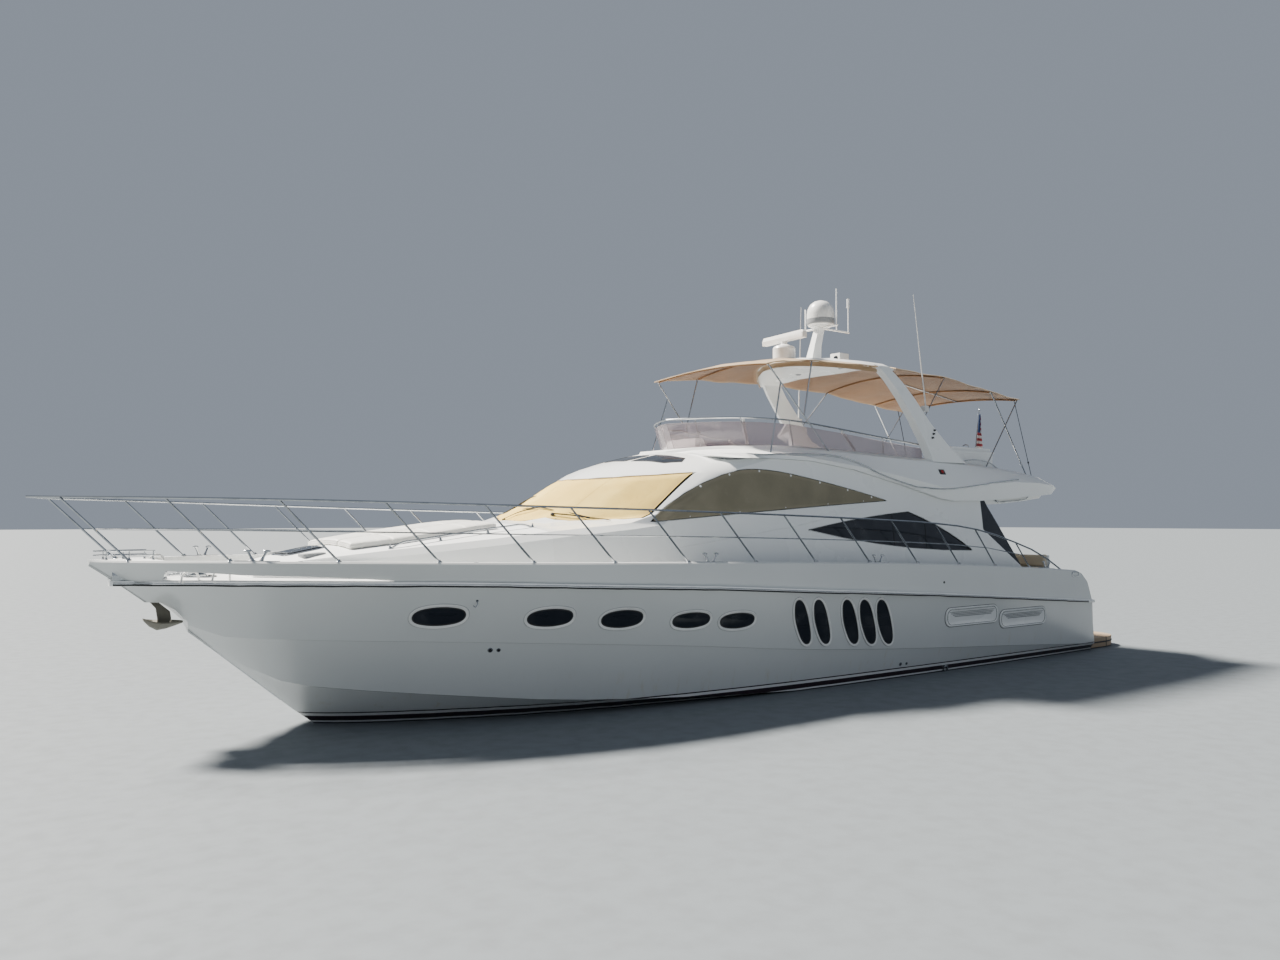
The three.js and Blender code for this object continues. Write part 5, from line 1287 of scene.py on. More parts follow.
# The arch window's upper and lower edges as runs of (x, z), each with its bend point
ARCH_TOP = [
    ((3.60, 2.65), (2.70, 3.30), (1.85, 3.455)),
    ((1.85, 3.455), (1.45, 3.52), (0.70, 3.425)),
    ((0.70, 3.425), (-0.50, 3.26), (-1.65, 3.015)),
]
ARCH_FOOT = [((3.60, 2.65), (0.90, 2.86), (-1.65, 3.015))]
COVER_FORE, COVER_AFT = 3.52, -1.55  # the mesh covers' ends
TOP_STUDS = (2.62, 2.06, 1.42, 0.72, 0.05, -0.62, -1.22)
FOOT_STUDS = (2.9, 1.9, 0.9, -0.1, -1.0)


def bent(runs, steps=24):
    """A line through runs of three points each, the middle one only pulling at it."""
    line = []
    for run in runs:
        for t in spread(0, 1, steps):
            pulls = ((1 - t) ** 2, 2 * t * (1 - t), t * t)
            line.append(tuple(sum(pull * point[k] for pull, point in zip(pulls, run)) for k in (0, 1)))
    return line


def height_at(line, x):
    for (x0, z0), (x1, z1) in zip(line, line[1:]):
        if min(x0, x1) <= x <= max(x0, x1) and x0 != x1:
            return z0 + (z1 - z0) * (x - x0) / (x1 - x0)
    return line[-1][1]


def make_side_covers():
    """Mesh covers over the arch windows, held by rows of snap studs."""
    top, foot = bent(ARCH_TOP), bent(ARCH_FOOT, 72)
    columns = spread(COVER_FORE, COVER_AFT, 60)
    for word, side in SIDES:
        node = "side_window_cover_" + word
        skin, grid = Skin(node), []
        for x in columns:
            line = []
            low, high = height_at(foot, x) + 0.012, height_at(top, x) - 0.012
            for t in spread(0, 1, 10):
                z = low + (high - low) * t
                slack = 0.0025 * math.sin(math.pi * t) * (1 + 0.6 * math.sin(5 * x + 4 * t))
                line.append((x, skin.side(side, x, z)[0].y + side * (0.003 + slack), z))
            grid.append(line[::side])
        piece, size = cloth_shell("side_mesh_" + word, grid, ["olive"], 0.003, 0.028, (0, side, 0))
        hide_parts(node)
        studs, edge = Form(), Form()
        spots = [(x, height_at(top, x) - 0.03, 0.018) for x in TOP_STUDS]
        spots += [(x, height_at(foot, x) + 0.03, 0.009) for x in FOOT_STUDS]
        for x, z, radius in spots:
            at, normal = skin.side(side, x, z)
            snap_stud(studs, at + Vector((0, side * 0.006, 0)), normal, radius)
        snaps = make_piece("side_mesh_studs_" + word, studs, "gel")
        rim = [row[0] for row in grid] + [row[-1] for row in reversed(grid)]
        edge.tube(rim, 0.0045, 6, ring=True)
        binding = make_piece("side_mesh_binding_" + word, edge, "olive")


STAFF_FOOT, STAFF_TOP = Vector((-6.780, 0, 3.560)), Vector((-7.060, 0, 5.100))
ENSIGN_FOOT = 4.255  # height of the hoist's lower end


def on_staff(z):
    """The staff's middle at a height."""
    return STAFF_FOOT.lerp(STAFF_TOP, (z - STAFF_FOOT.z) / (STAFF_TOP.z - STAFF_FOOT.z))


def make_ensign():
    """A limp flag that hangs in folds down its staff."""
    down, across, pleats = 41, 101, 5
    grid = []
    for v in spread(0, 1, down - 1):  # 0 at the foot of the hoist, 1 at its head
        z = ENSIGN_FOOT + ENSIGN_HOIST * v
        staff = on_staff(z).x
        wide = 0.030 + 0.185 * (1 - v) ** 1.15
        deep = 0.034 - 0.006 * v
        line = []
        for u in spread(0, 1, across - 1):
            turn = 2 * math.pi * pleats * u
            grip = min(1.0, u * 9)
            y = deep * grip * math.sin(turn + 1.3 * (1 - v) * u)
            x = staff - 0.0155 - wide * (u + 0.035 * math.sin(2 * turn) * grip)
            drop = 0.05 * u * v + 0.012 * math.sin(turn + 1.0) * grip * (1 - v)
            line.append((x, y, z - drop * 0.6))
        grid.append(line)
    piece, _ = cloth_shell("ensign_cloth_limp", grid, ["flag"], 0.0016, 0.012, (0, 1, 0))
    flat = piece.data.uv_layers["flat"]
    for loop in piece.data.loops:
        row, column = divmod(loop.vertex_index % (down * across), across)
        flat.data[loop.index].uv = (ENSIGN_FLY * column / (across - 1), ENSIGN_HOIST * row / (down - 1))
    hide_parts("ensign")
    hardware = Form()
    for v in (0.02, 0.98):
        at = on_staff(ENSIGN_FOOT + ENSIGN_HOIST * v)
        ring = [at + Vector((0.017 * math.cos(a), 0.017 * math.sin(a), 0)) for a in turns(16)]
        hardware.tube(ring, 0.002, 6, ring=True)
    up = STAFF_TOP - STAFF_FOOT
    hardware.turned(STAFF_TRUCK, STAFF_TOP, up)
    hardware.turned(STAFF_SOCKET, STAFF_FOOT, up)
    rings = make_piece("ensign_staff_fittings", hardware, "steel")


# Cushions


PRESSURE, SWELL_FRAMES = 4.0, 20


class Cushion:
    """A padded piece: its form, the surface it lies on, its look and node, and how far it may swell."""

    def __init__(self, name, form, floor, look, node, cap, voxel=0.024, fill=0.8):
        self.name, self.form, self.floor, self.look, self.node = name, form, floor, look, node
        self.cap, self.voxel, self.fill = cap, voxel, fill
        self.piece, self.start = None, []


def applied(piece):
    """Puts a piece's modifiers into its mesh."""
    graph = bpy.context.evaluated_depsgraph_get()
    made = bpy.data.meshes.new_from_object(piece.evaluated_get(graph))
    piece.modifiers.clear()
    old, piece.data = piece.data, made
    bpy.data.meshes.remove(old)


def swell(cushions):
    """All the cushions' covers blown up together by one cloth simulation, then pressed on their floors."""
    for cushion in cushions:
        cushion.piece = make_piece(cushion.name, cushion.form, cushion.look)
        remesh = cushion.piece.modifiers.new("grid", "REMESH")
        remesh.mode = "VOXEL"
        remesh.voxel_size = cushion.voxel
        remesh.use_smooth_shade = True
        applied(cushion.piece)
        cushion.start = [vertex.co.copy() for vertex in cushion.piece.data.vertices]
    for cushion in cushions:
        cloth = cushion.piece.modifiers.new("cover", "CLOTH").settings
        cloth.use_pressure = True
        cloth.uniform_pressure_force = PRESSURE
        cloth.effector_weights.gravity = 0.0
        cloth.quality = 4
    for number in range(1, SWELL_FRAMES + 1):
        bpy.context.scene.frame_set(number)
    for cushion in cushions:
        applied(cushion.piece)
    bpy.context.scene.frame_set(1)
    for cushion in cushions:
        for vertex, start in zip(cushion.piece.data.vertices, cushion.start):
            move = vertex.co - start
            if move.length > cushion.cap:
                vertex.co = start + move.normalized() * cushion.cap
            vertex.co.z = max(vertex.co.z, cushion.floor(vertex.co.x, vertex.co.y) + 0.001)
        soften = cushion.piece.modifiers.new("soften", "SMOOTH")
        soften.factor, soften.iterations = 0.5, 2
        finer = cushion.piece.modifiers.new("finer", "SUBSURF")
        finer.levels = finer.render_levels = 1
        applied(cushion.piece)
        smooth(cushion.piece.data)
        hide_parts(cushion.node)


def piping(form, cushion, outline, height, radius, ring=True):
    """Piping round a cushion, laid on its cover where a level outline comes nearest to it."""
    mesh = cushion.piece.data
    faces = [list(face.vertices) for face in mesh.polygons]
    tree = BVHTree.FromPolygons([vertex.co for vertex in mesh.vertices], faces)
    near = [tree.find_nearest(Vector((u, v, height(u, v))))[:2] for u, v in outline]
    form.tube([at + normal * radius * 0.35 for at, normal in near], radius, 6, ring=ring)


INSET = 0.008  # how far a cushion's block stays inside its outline


def cushion_block(stations, floor, thick):
    """The closed block that a cushion swells from: (x, y from, y to) stations over a floor."""
    form, rows = Form(), []
    last = len(stations) - 1
    for i, (x, y0, y1) in enumerate(stations):
        x += INSET if i == 0 else -INSET if i == last else 0
        across = spread(y0 + INSET, y1 - INSET, 6)
        under = [(x, y, floor(x, y) + 0.002) for y in across]
        over = [(x, y, floor(x, y) + thick - INSET) for y in reversed(across)]
        rows.append(under + over)
    form.loft(rows)
    return form


def box_cushion(name, low, high, look, node):
    """A cushion that fills a box, lying or standing on the box's floor. A back swells less."""
    low, high = Vector(low), Vector(high)
    count = max(2, int((high.x - low.x) / 0.12) + 1)
    stations = [(x, low.y, high.y) for x in spread(low.x, high.x, count)]
    form = cushion_block(stations, lambda x, y: low.z, high.z - low.z)
    cushion = Cushion(name, form, lambda x, y: low.z, look, node, 0.014 if "_back" in name else 0.020)
    cushion.low, cushion.high = low, high
    return cushion


FLY_FLOOR = 3.1504
COCKPIT_SOLE = 1.2754
SALOON_SOLE = 1.2754
HELM_SEATS = [(-0.712, -0.252), (-1.178, -0.718)]
SALOON_SEATS = [(-3.598, -2.103), (-2.097, -0.602)]
# node, look, name, runs in x and in y, run in z and first number of each row of loose cushions
CUSHION_ROWS = [
    ("fly_helm_seat", "vinyl", "helm_seat", [(-0.125, 0.378)], HELM_SEATS, (3.490, 3.612), 1),
    ("fly_helm_seat", "vinyl", "helm_back", [(-0.132, -0.040)], HELM_SEATS, (3.625, 3.985), 1),
    ("fly_settee", "vinyl", "fly_settee_seat",
     [(-0.700, -0.002), (-1.420, -0.706), (-2.145, -1.426)], [(0.802, 1.108)], (3.462, 3.582), 1),
    ("fly_settee", "vinyl", "fly_settee_seat",
     [(-2.698, -2.152)], [(0.622, 1.108), (0.002, 0.616)], (3.462, 3.582), 4),
    ("fly_settee", "vinyl", "fly_settee_back",
     [(-0.895, -0.005), (-1.795, -0.902), (-2.695, -1.802)], [(1.116, 1.205)], (3.590, 3.825), 1),
    ("fly_sun_lounge", "vinyl", "sun_lounge_pad",
     [(-6.248, -4.802)], [(0.153, 0.798), (-0.498, 0.147)], (3.452, 3.572), 1),
    ("cockpit_seat", "tan_vinyl", "cockpit_seat",
     [(-6.480, -6.082)], [(0.850, 1.898), (-0.205, 0.844), (-1.248, -0.211)], (1.587, 1.707), 1),
    ("cockpit_seat", "tan_vinyl", "cockpit_back",
     [(-6.575, -6.485)], [(0.850, 1.895), (-0.205, 0.844), (-1.245, -0.211)], (1.715, 1.990), 1),
    ("saloon_settee", "tan_vinyl", "saloon_seat", SALOON_SEATS, [(-1.480, -1.002)], (1.580, 1.700), 1),
    ("saloon_settee", "tan_vinyl", "saloon_back", SALOON_SEATS, [(-1.570, -1.485)], (1.710, 2.095), 1),
]
HELM_WORDS = {1: "left", 2: "right"}
# node, low corner and high corner of the moulded parts under and behind the cushions
SEAT_MOULDINGS = {
    "fly_helm_seat": [
        ((-0.200, -1.180, FLY_FLOOR + 0.07), (0.370, -0.250, 3.488)),
        ((-0.180, -1.150, FLY_FLOOR), (0.320, -0.280, FLY_FLOOR + 0.08)),
        ((-0.200, -1.180, 3.480), (-0.134, -0.250, 3.950)),
    ],
    "fly_settee": [
        ((-2.700, 0.800, FLY_FLOOR + 0.07), (0.000, 1.260, 3.460)),
        ((-2.700, 0.000, FLY_FLOOR + 0.07), (-2.150, 0.810, 3.460)),
        ((-2.680, 0.840, FLY_FLOOR), (-0.040, 1.250, FLY_FLOOR + 0.08)),
        ((-2.680, 0.040, FLY_FLOOR), (-2.200, 0.850, FLY_FLOOR + 0.08)),
        ((-2.700, 1.207, 3.450), (0.000, 1.260, 3.800)),
    ],
    "fly_sun_lounge": [
        ((-6.250, -0.500, FLY_FLOOR + 0.07), (-4.800, 0.800, 3.450)),
        ((-6.220, -0.460, FLY_FLOOR), (-4.850, 0.760, FLY_FLOOR + 0.08)),
    ],
    "cockpit_seat": [
        ((-6.640, -1.250, COCKPIT_SOLE + 0.07), (-6.085, 1.900, 1.585)),
        ((-6.630, -1.240, COCKPIT_SOLE), (-6.130, 1.890, COCKPIT_SOLE + 0.08)),
        ((-6.640, -1.250, 1.575), (-6.578, 1.900, 1.960)),
    ],
    "saloon_settee": [
        ((-3.600, -1.600, SALOON_SOLE + 0.07), (-0.600, -1.000, 1.578)),
        ((-3.580, -1.590, SALOON_SOLE), (-0.620, -1.050, SALOON_SOLE + 0.08)),
        ((-3.600, -1.600, 1.570), (-0.600, -1.572, 2.095)),
    ],
}


def make_seat_mouldings():
    for node, parts in SEAT_MOULDINGS.items():
        form = Form()
        for low, high in parts:
            form.block(low, high, 0.012, 0.025)
        moulding = make_piece(node + "_moulding", form, "fine_teak" if node == "saloon_settee" else "gel")
        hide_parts(node)


def loose_cushions():
    cushions = []
    for node, look, name, along, across, (z0, z1), first in CUSHION_ROWS:
        for number, ((x0, x1), (y0, y1)) in enumerate([(x, y) for x in along for y in across], first):
            word = HELM_WORDS[number] if name.startswith("helm") else str(number)
            cushions.append(box_cushion(name + "_" + word, (x0, y0, z0), (x1, y1, z1), look, node))
    return cushions


PAD_ENDS, PAD_CHANNELS = (5.622, 7.718), (6.14, 6.66, 7.18)  # x of the sun pad's ends and sewn channels
PAD_HALF, PAD_CORNER = 0.957, 7.15  # half its width, and the x where it starts to narrow
COACHROOF = Skin("coachroof")


def on_roof(x, y):
    return COACHROOF.top(x, y)[0].z


def sun_pads():
    """Three pads side by side that follow the coachroof."""
    pads = []
    for word, y0, y1 in (("middle", -0.322, 0.322), ("port", 0.328, 2), ("starboard", -2, -0.328)):
        rows = []
        for x in spread(*PAD_ENDS, 18):
            half = PAD_HALF - 0.16 * max(0.0, x - PAD_CORNER) / 0.57
            rows.append((x, max(y0, -half), min(y1, half)))
        form = cushion_block(rows, on_roof, 0.086)
        pad = Cushion("sun_pad_" + word, form, on_roof, "vinyl", "sun_pad", 0.016, 0.026, 0.75)
        pad.rows = rows
        pads.append(pad)
    return pads


def press_channels(pad):
    """The sewn channels across a sun pad's upper face."""
    for vertex in pad.piece.data.vertices:
        if vertex.co.z - on_roof(vertex.co.x, vertex.co.y) >= 0.05:
            for x in PAD_CHANNELS:
                vertex.co.z -= 0.011 * math.exp(-(((vertex.co.x - x) / 0.016) ** 2))


def make_cushions():
    """Every cushion swollen in one go, then its sewn channels and its piping."""
    cushions, pads = loose_cushions(), sun_pads()
    swell(cushions + pads)
    for cushion in cushions:
        form, low, high = Form(), cushion.low, cushion.high
        outline = dense_outline(rounded(low, high, 0.03), 0.05)
        piping(form, cushion, outline, lambda x, y: high.z, 0.0042)
        if "_back" not in cushion.name:
            piping(form, cushion, outline, lambda x, y: low.z + 0.02, 0.0035)
        make_piece(cushion.name + "_piping", form, cushion.look)
    for pad in pads:
        press_channels(pad)
        form = Form()
        corners = [(x, y1) for x, _, y1 in pad.rows] + [(x, y0) for x, y0, _ in reversed(pad.rows)]
        outline = dense_outline(corners, 0.06)
        piping(form, pad, outline, lambda x, y: on_roof(x, y) + 0.092, 0.0045)
        piping(form, pad, outline, lambda x, y: on_roof(x, y) + 0.014, 0.004)
        for x in PAD_CHANNELS:
            y0, y1 = min(pad.rows, key=lambda row: abs(row[0] - x))[1:]
            path = [(x, y) for y in spread(y0 + 0.01, y1 - 0.01, 10)]
            piping(form, pad, path, lambda x, y: on_roof(x, y) + 0.082, 0.0028, ring=False)
        make_piece(pad.name + "_piping", form, "vinyl")


def dense_outline(outline, pitch):
    """An outline with points no further apart than the pitch."""
    dense = []
    for a, b in zip(outline, outline[1:] + outline[:1]):
        count = max(1, int(math.dist(a, b) / pitch))
        dense += [(a[0] + (b[0] - a[0]) * k / count, a[1] + (b[1] - a[1]) * k / count) for k in range(count)]
    return dense


# House, flybridge and arch details

# runs of (x, z) on the port side
RAIL_FORE = [(1.459, 3.707), (0.60, 3.742), (-0.306, 3.758), (-0.80, 3.672), (-1.293, 3.509)]
RAIL_FORE += [(-1.85, 3.375), (-2.382, 3.27)]
RAIL_AFT = [(-2.382, 3.27), (-3.215, 3.248), (-4.40, 3.36), (-5.589, 3.471)]
HOUSE_CREASE = [(3.852, 2.183), (2.20, 2.40), (0.602, 2.598), (-0.30, 2.78), (-1.121, 2.971)]
QUARTER_JOINTS = (-1.75, -2.65)  # x of the joints between the quarter window's panes
# x and z: the side light's middle, its panel's corners, the arch's deck lights and small panel
SIDE_LIGHT, LIGHT_PANEL = (-3.228, 3.566), ((-3.33, 3.505), (-3.13, 3.625))
ARCH_LIGHTS = [(-3.159, 4.277), (-3.1215, 4.202), (-3.194, 4.347)]
ARCH_PANEL = ((-2.36, 4.98), (-2.24, 5.06))
# growth of the outline and height over the surface
SEAL_ROWS = [(0.010, -0.003), (0.008, 0.004), (-0.006, 0.004), (-0.008, -0.003)]
LIGHT_ROWS = [(0.012, -0.004), (0.010, 0.006), (0.0, 0.010), (-0.010, 0.006), (-0.012, -0.003)]
DOOR_ROWS = [(0.014, -0.003), (0.012, 0.005), (0.0, 0.008), (-0.012, 0.005), (-0.014, -0.003)]
HATCH_ROWS = [(-0.001, -0.001), (-0.002, 0.004), (-0.022, 0.004), (-0.026, -0.001)]
SKYLIGHT_ROWS = [(0.016, -0.004), (0.014, 0.008), (0.004, 0.010), (0.001, 0.007), (0.0, -0.004)]
# share of the outline's size and height over the surface
SKYLIGHT_PANE_ROWS = [(0.99, -0.003), (0.99, 0.006), (0.8, 0.008), (0.5, 0.009), (0.2, 0.009)]


def node_rim(node, side):
    """The outline of a side window, felt from its solid: top edge and foot at even steps of x."""
    skin, (low, high) = Skin(node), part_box(node)
    top, foot = [], []
    for x in spread(low[0] + 0.004, high[0] - 0.004, 80):
        hits = [z for z in spread(low[2], high[2], 160) if skin.hits_side(side, x, z)]
        if hits:
            top.append((x, hits[-1]))
            foot.append((x, hits[0]))
    return top + foot[::-1]


def make_window_trims():
    """Rubber seals round the side windows, and the joints between the quarter window's panes."""
    for word, side in SIDES:
        form, quarter = Form(), "quarter_window_" + word
        for node in ("side_window_" + word, quarter):
            moulding(form, Skin(node, "deckhouse").on(side), node_rim(node, side), SEAL_ROWS)
        skin, (low, high) = Skin(quarter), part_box(quarter)
        for x in QUARTER_JOINTS:
            heights = [z for z in spread(low[2], high[2], 40) if skin.hits_side(side, x, z)]
            joint = [skin.side(side, x, z)[0] + Vector((0, side * 0.001, 0)) for z in heights]
            if len(joint) > 2:
                form.tube(joint, 0.006, 6)
        make_piece("window_seals_" + word, form, "rubber")


def on_house(side, run, lift):
    """A smooth line through a run, laid on the house's side."""
    line = eased([(x, 0, z) for x, z in run], 8)
    return laid(HOUSE.on(side), [(point.x, point.z) for point in line], lift)


def make_side_lines():
    """The hand rail along the flybridge's side and the fine bead on the house."""
    for word, side in SIDES:
        rail, bead = Form(), Form()
        for run in (RAIL_FORE, RAIL_AFT):
            rail.tube(on_house(side, run, 0.012), RAIL_RADIUS, 8)
        make_piece("fly_side_rail_" + word, rail, "steel")
        path = on_house(side, HOUSE_CREASE, 0)
        last = len(path) - 1
        bead.tube(path, [0.001 + 0.007 * min(1, k / 6, (last - k) / 6) for k in range(last + 1)], 8)
        make_piece("house_bead_" + word, bead, "gel")


def make_navigation_lights():
    """The side lights, each in a dished panel on the flybridge's side."""
    for word, side in SIDES:
        form, on_side = Form(), HOUSE.on(side)
        outline = rounded(*LIGHT_PANEL, 0.03)
        moulding(form, on_side, outline, LIGHT_ROWS)
        pane(form, on_side, outline, [(0.93, -0.003), (0.93, 0.001), (0.5, 0.0015)], 1)
        spot = on_side(*SIDE_LIGHT)
        form.turned([(0.036, -0.01), (0.036, 0.014), (0.030, 0.024), (0.0, 0.030)], *spot, 18, 2)
        form.turned([(0.040, -0.01), (0.040, 0.008), (0.036, 0.012)], *spot, 18, 1)
        make_piece("side_light_" + word, form, ["gel", "black", "red" if side > 0 else "green"])


def make_skylights():
    """Slim dark panes let into the saloon roof, in front of the flybridge."""
    form = Form()
    wing = [(2.91, 0.43), (2.42, 0.42), (2.36, 1.06), (2.50, 1.15), (2.72, 0.99)]
    wings = [[(x, side * y) for x, y in wing] for _, side in SIDES]
    for outline in [rounded((2.46, -0.30), (2.95, 0.30), 0.06, 4)] + wings:
        dense = dense_outline(outline, 0.05)
        moulding(form, CABIN_TOP.top, dense, SKYLIGHT_ROWS)
        pane(form, CABIN_TOP.top, dense, SKYLIGHT_PANE_ROWS, 1)
    make_piece("saloon_skylights", form, ["rubber", "glass"])


# pivot, elbow and tip of each wiper's arm, and the two ends of its blade, on the cover
WIPERS = [
    ((4.905, -0.167), (4.74, 0.06), (4.60, 0.30), (4.66, -0.02), (4.50, 0.62)),
    ((4.60, 0.72), (4.40, 0.98), (4.27, 1.20), (4.40, 0.86), (4.12, 1.52)),
    ((4.60, -1.05), (4.44, -0.80), (4.34, -0.56), (4.42, -0.92), (4.27, -0.24)),
]


def make_wipers():
    """Wipers laid on the windscreen's cover: a pivot, a double arm, a blade and its yoke."""
    form, cover = Form(), Skin("windscreen_cover", "coachroof", "deckhouse", "windscreen")
    for pivot, elbow, tip, start, end in WIPERS:

        def over(points, lifts):
            return [laid(cover.top, [point], lift)[0] for point, lift in zip(points, lifts)]

        def on_blade(shares):
            return [tuple(a + (b - a) * t for a, b in zip(start, end)) for t in shares]

        form.turned([(0.028, -0.01), (0.028, 0.02), (0.020, 0.032), (0, 0.036)], *cover.top(*pivot))
        for shift in (-0.011, 0.011):
            arm = over([(x + shift, y) for x, y in (pivot, elbow, tip)], (0.028, 0.040, 0.036))
            form.tube(eased(arm), 0.005, 6)
        blade = laid(cover.top, on_blade(spread(0, 1, 12)), 0.024)
        form.tube(blade, [0.004] + [0.0075] * 11 + [0.004], 6)
        yoke = over(on_blade((0.25, 0.38, 0.62, 0.75)), (0.026, 0.036, 0.036, 0.026))
        form.tube(eased(yoke, 4), 0.005, 6)
    make_piece("wipers", form, "black")


# top and foot of each post in the smoked screen, on the port side
SCREEN_POSTS = [((1.163, 1.135, 4.36), (1.02, 1.09, 3.93)), ((-0.888, 1.44, 4.235), (-1.287, 1.40, 3.90))]


def make_fly_screen_posts():
    """White posts inside the smoked screen, with eased ends."""
    form = Form()
    for _, side in SIDES:
        for post in SCREEN_POSTS:
            top, foot = (Vector((x, side * y, z)) for x, y, z in post)
            along = (foot - top).normalized()
            wide = along.cross(Vector((0, side, 0))).normalized()
            thick = along.cross(wide)
            rows, end, body = [], (0.020, 0.005), (0.026, 0.008)
            for t, (w, d) in ((0, end), (0.05, body), (0.95, body), (1, end)):
                corners = ((w, d), (w, -d), (-w, -d), (-w, d))
                rows.append([top.lerp(foot, t) + wide * u + thick * v for u, v in corners])
            form.loft(rows)
    make_piece("fly_screen_posts", form, "gel")


def make_overhang_rails():
    """Grab rails under the flybridge's overhang, and rails on its coaming."""
    form, fly = Form(), Skin("flybridge")
    for _, side in SIDES:
        beneath = [fly.hit((x, side * 1.62, 1.5), (0, 0, 1))[0] for x in (-5.15, -5.35, -6.15, -6.35)]
        above = [fly.top(x, side * 1.5, 4.6)[0] for x in (-4.19, -4.6, -5.14, -5.45)]
        for ends, drop in ((beneath, -0.07), (above, 0.09)):
            line = [at + Vector((0, 0, drop if k in (1, 2) else 0)) for k, at in enumerate(ends)]
            form.tube(eased(line, 5), RAIL_RADIUS)
    make_piece("overhang_rails", form, "steel")


def make_arch_details():
    """Deck lights and a small panel on each of the arch's legs, and lamps under its wing."""
    form, beneath = Form(), Form()
    for _, side in SIDES:
        for spot in ARCH_LIGHTS:
            form.turned(DECK_LIGHT, *ARCH.side(side, *spot), 12)
        rows = [(0.006, -0.004), (0.004, 0.006), (-0.006, 0.004)]
        moulding(form, ARCH.on(side), rounded(*ARCH_PANEL, 0.02), rows, 1)
    make_piece("arch_fittings", form, ["black", "gel"])
    for y in (-0.55, 0.55):
        beneath.turned(ARCH_LAMP, ARCH.hit((-1.9, y, 4.6), (0, 0, 1))[0])
    make_piece("arch_lamps", beneath, "steel")


SCANNER_X, SCANNER_TURN = -0.95, -7  # the scanner's axis, and its bar's heading in degrees


def make_scanner_details():
    """Joint lines and ribs on the dome, the scanner's housing and its bar, and the night camera's eye."""
    dome, ribs, bar, eye = Form(), Form(), Form(), Form()
    band = [(0.256, 6.430), (0.2655, 6.445), (0.2690, 6.470), (0.2690, 6.536), (0.2640, 6.541)]
    dome.turned(band, (-1.95, 0, 0), sides=40)
    make_piece("dome_joint", dome, "grey")
    for z in (5.73, 5.80, 5.87):
        rib = [(0.196, z - 0.008), (0.204, z - 0.004), (0.204, z + 0.004), (0.196, z + 0.008)]
        ribs.turned(rib, (SCANNER_X, 0, 0), sides=36)
    make_piece("scanner_housing_ribs", ribs, "radome")
    turn = Matrix.Translation((SCANNER_X, 0, 0)) @ Matrix.Rotation(math.radians(SCANNER_TURN), 4, "Z")
    for x in (-0.058, 0.052):
        bar.block((x, -0.585, 6.068), (x + 0.006, 0.585, 6.088), 0.002, place=turn)
    make_piece("scanner_bar_seams", bar, "grey", body="radar_scanner")
    low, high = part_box("night_camera")
    face, ahead = (high[0] + 0.001, 0.02, (low[2] + high[2]) / 2 + 0.04), (1, 0, 0)
    eye.turned(CAMERA_RIM, face, ahead, 24)
    eye.turned(CAMERA_LENS, face, ahead, 24, 1)
    make_piece("night_camera_eye", eye, ["black", "glass"])


# The console's slope, from its foot to its head
SLOPE_FOOT, SLOPE_HEAD = (0.74, 0, 3.94), (0.86, 0, 4.12)
# corners of the panel, a screen's case and its glass, measured from their own middles
PANEL_CORNERS = ((-0.365, -0.09, -0.002), (0.365, 0.09, 0.006))
CASE_CORNERS = ((-0.11, -0.07, 0.003), (0.11, 0.07, 0.016))
GLASS_CORNERS = ((-0.098, -0.056, 0.014), (0.098, 0.056, 0.018))
LEVER_BOX = ((0.87, -0.41, 4.118), (0.97, -0.27, 4.140))
LEVER = [(0.90, 4.13), (0.87, 4.19), (0.855, 4.235)]  # x and z from its foot to its knob
# y of what is on the console
PANEL_Y, SCREENS_Y, GAUGES_Y, SWITCHES_Y, LEVERS_Y = -0.62, (-0.80, -0.50), -0.965, -0.30, (-0.37, -0.31)


def make_helm():
    """Instrument panel, screens, gauges, switches and throttles on the flybridge console."""
    form, foot, head = Form(), Vector(SLOPE_FOOT), Vector(SLOPE_HEAD)
    along = (head - foot).normalized()
    out = Vector((-along.z, 0, along.x))
    tilt = Matrix(((0, along.x, out.x, 0), (1, 0, 0, 0), (0, along.z, out.z, 0), (0, 0, 0, 1)))

    def on_panel(y, share):
        return foot.lerp(head, share) + Vector((0, y, 0))

    panel = Matrix.Translation(on_panel(PANEL_Y, 0.5)) @ tilt
    form.block(*PANEL_CORNERS, 0.003, 0.02, 0, panel)
    for y in SCREENS_Y:
        at = Matrix.Translation(on_panel(y, 0.52)) @ tilt
        form.block(*CASE_CORNERS, 0.004, 0.012, 1, at)
        form.block(*GLASS_CORNERS, 0.001, 0.004, 2, at)
    for k in range(4):
        form.turned(GAUGE, on_panel(GAUGES_Y, 0.2 + 0.2 * k), out, 18, 1)
    for k in range(5):
        form.turned(SWITCH, on_panel(SWITCHES_Y, 0.15 + 0.17 * k), out, 10, 3)
    form.block(*LEVER_BOX, 0.006, 0.02, 1)
    for y in LEVERS_Y:
        lever = [(x, y, z) for x, z in LEVER]
        form.tube(eased(lever, 4), 0.007, 8, 3)
        form.turned(LEVER_KNOB, lever[-1], (0, 1, 0), 12, 1)
    make_piece("helm_instruments", form, ["grey", "black", "glass", "steel"])


BAR_TOP, BAR_FRONT = 4.045, 0.822  # z of the wet bar's top and y of its doors
BAR_DOORS, TAP_X = (-5.38, -4.95, -4.52), -4.98


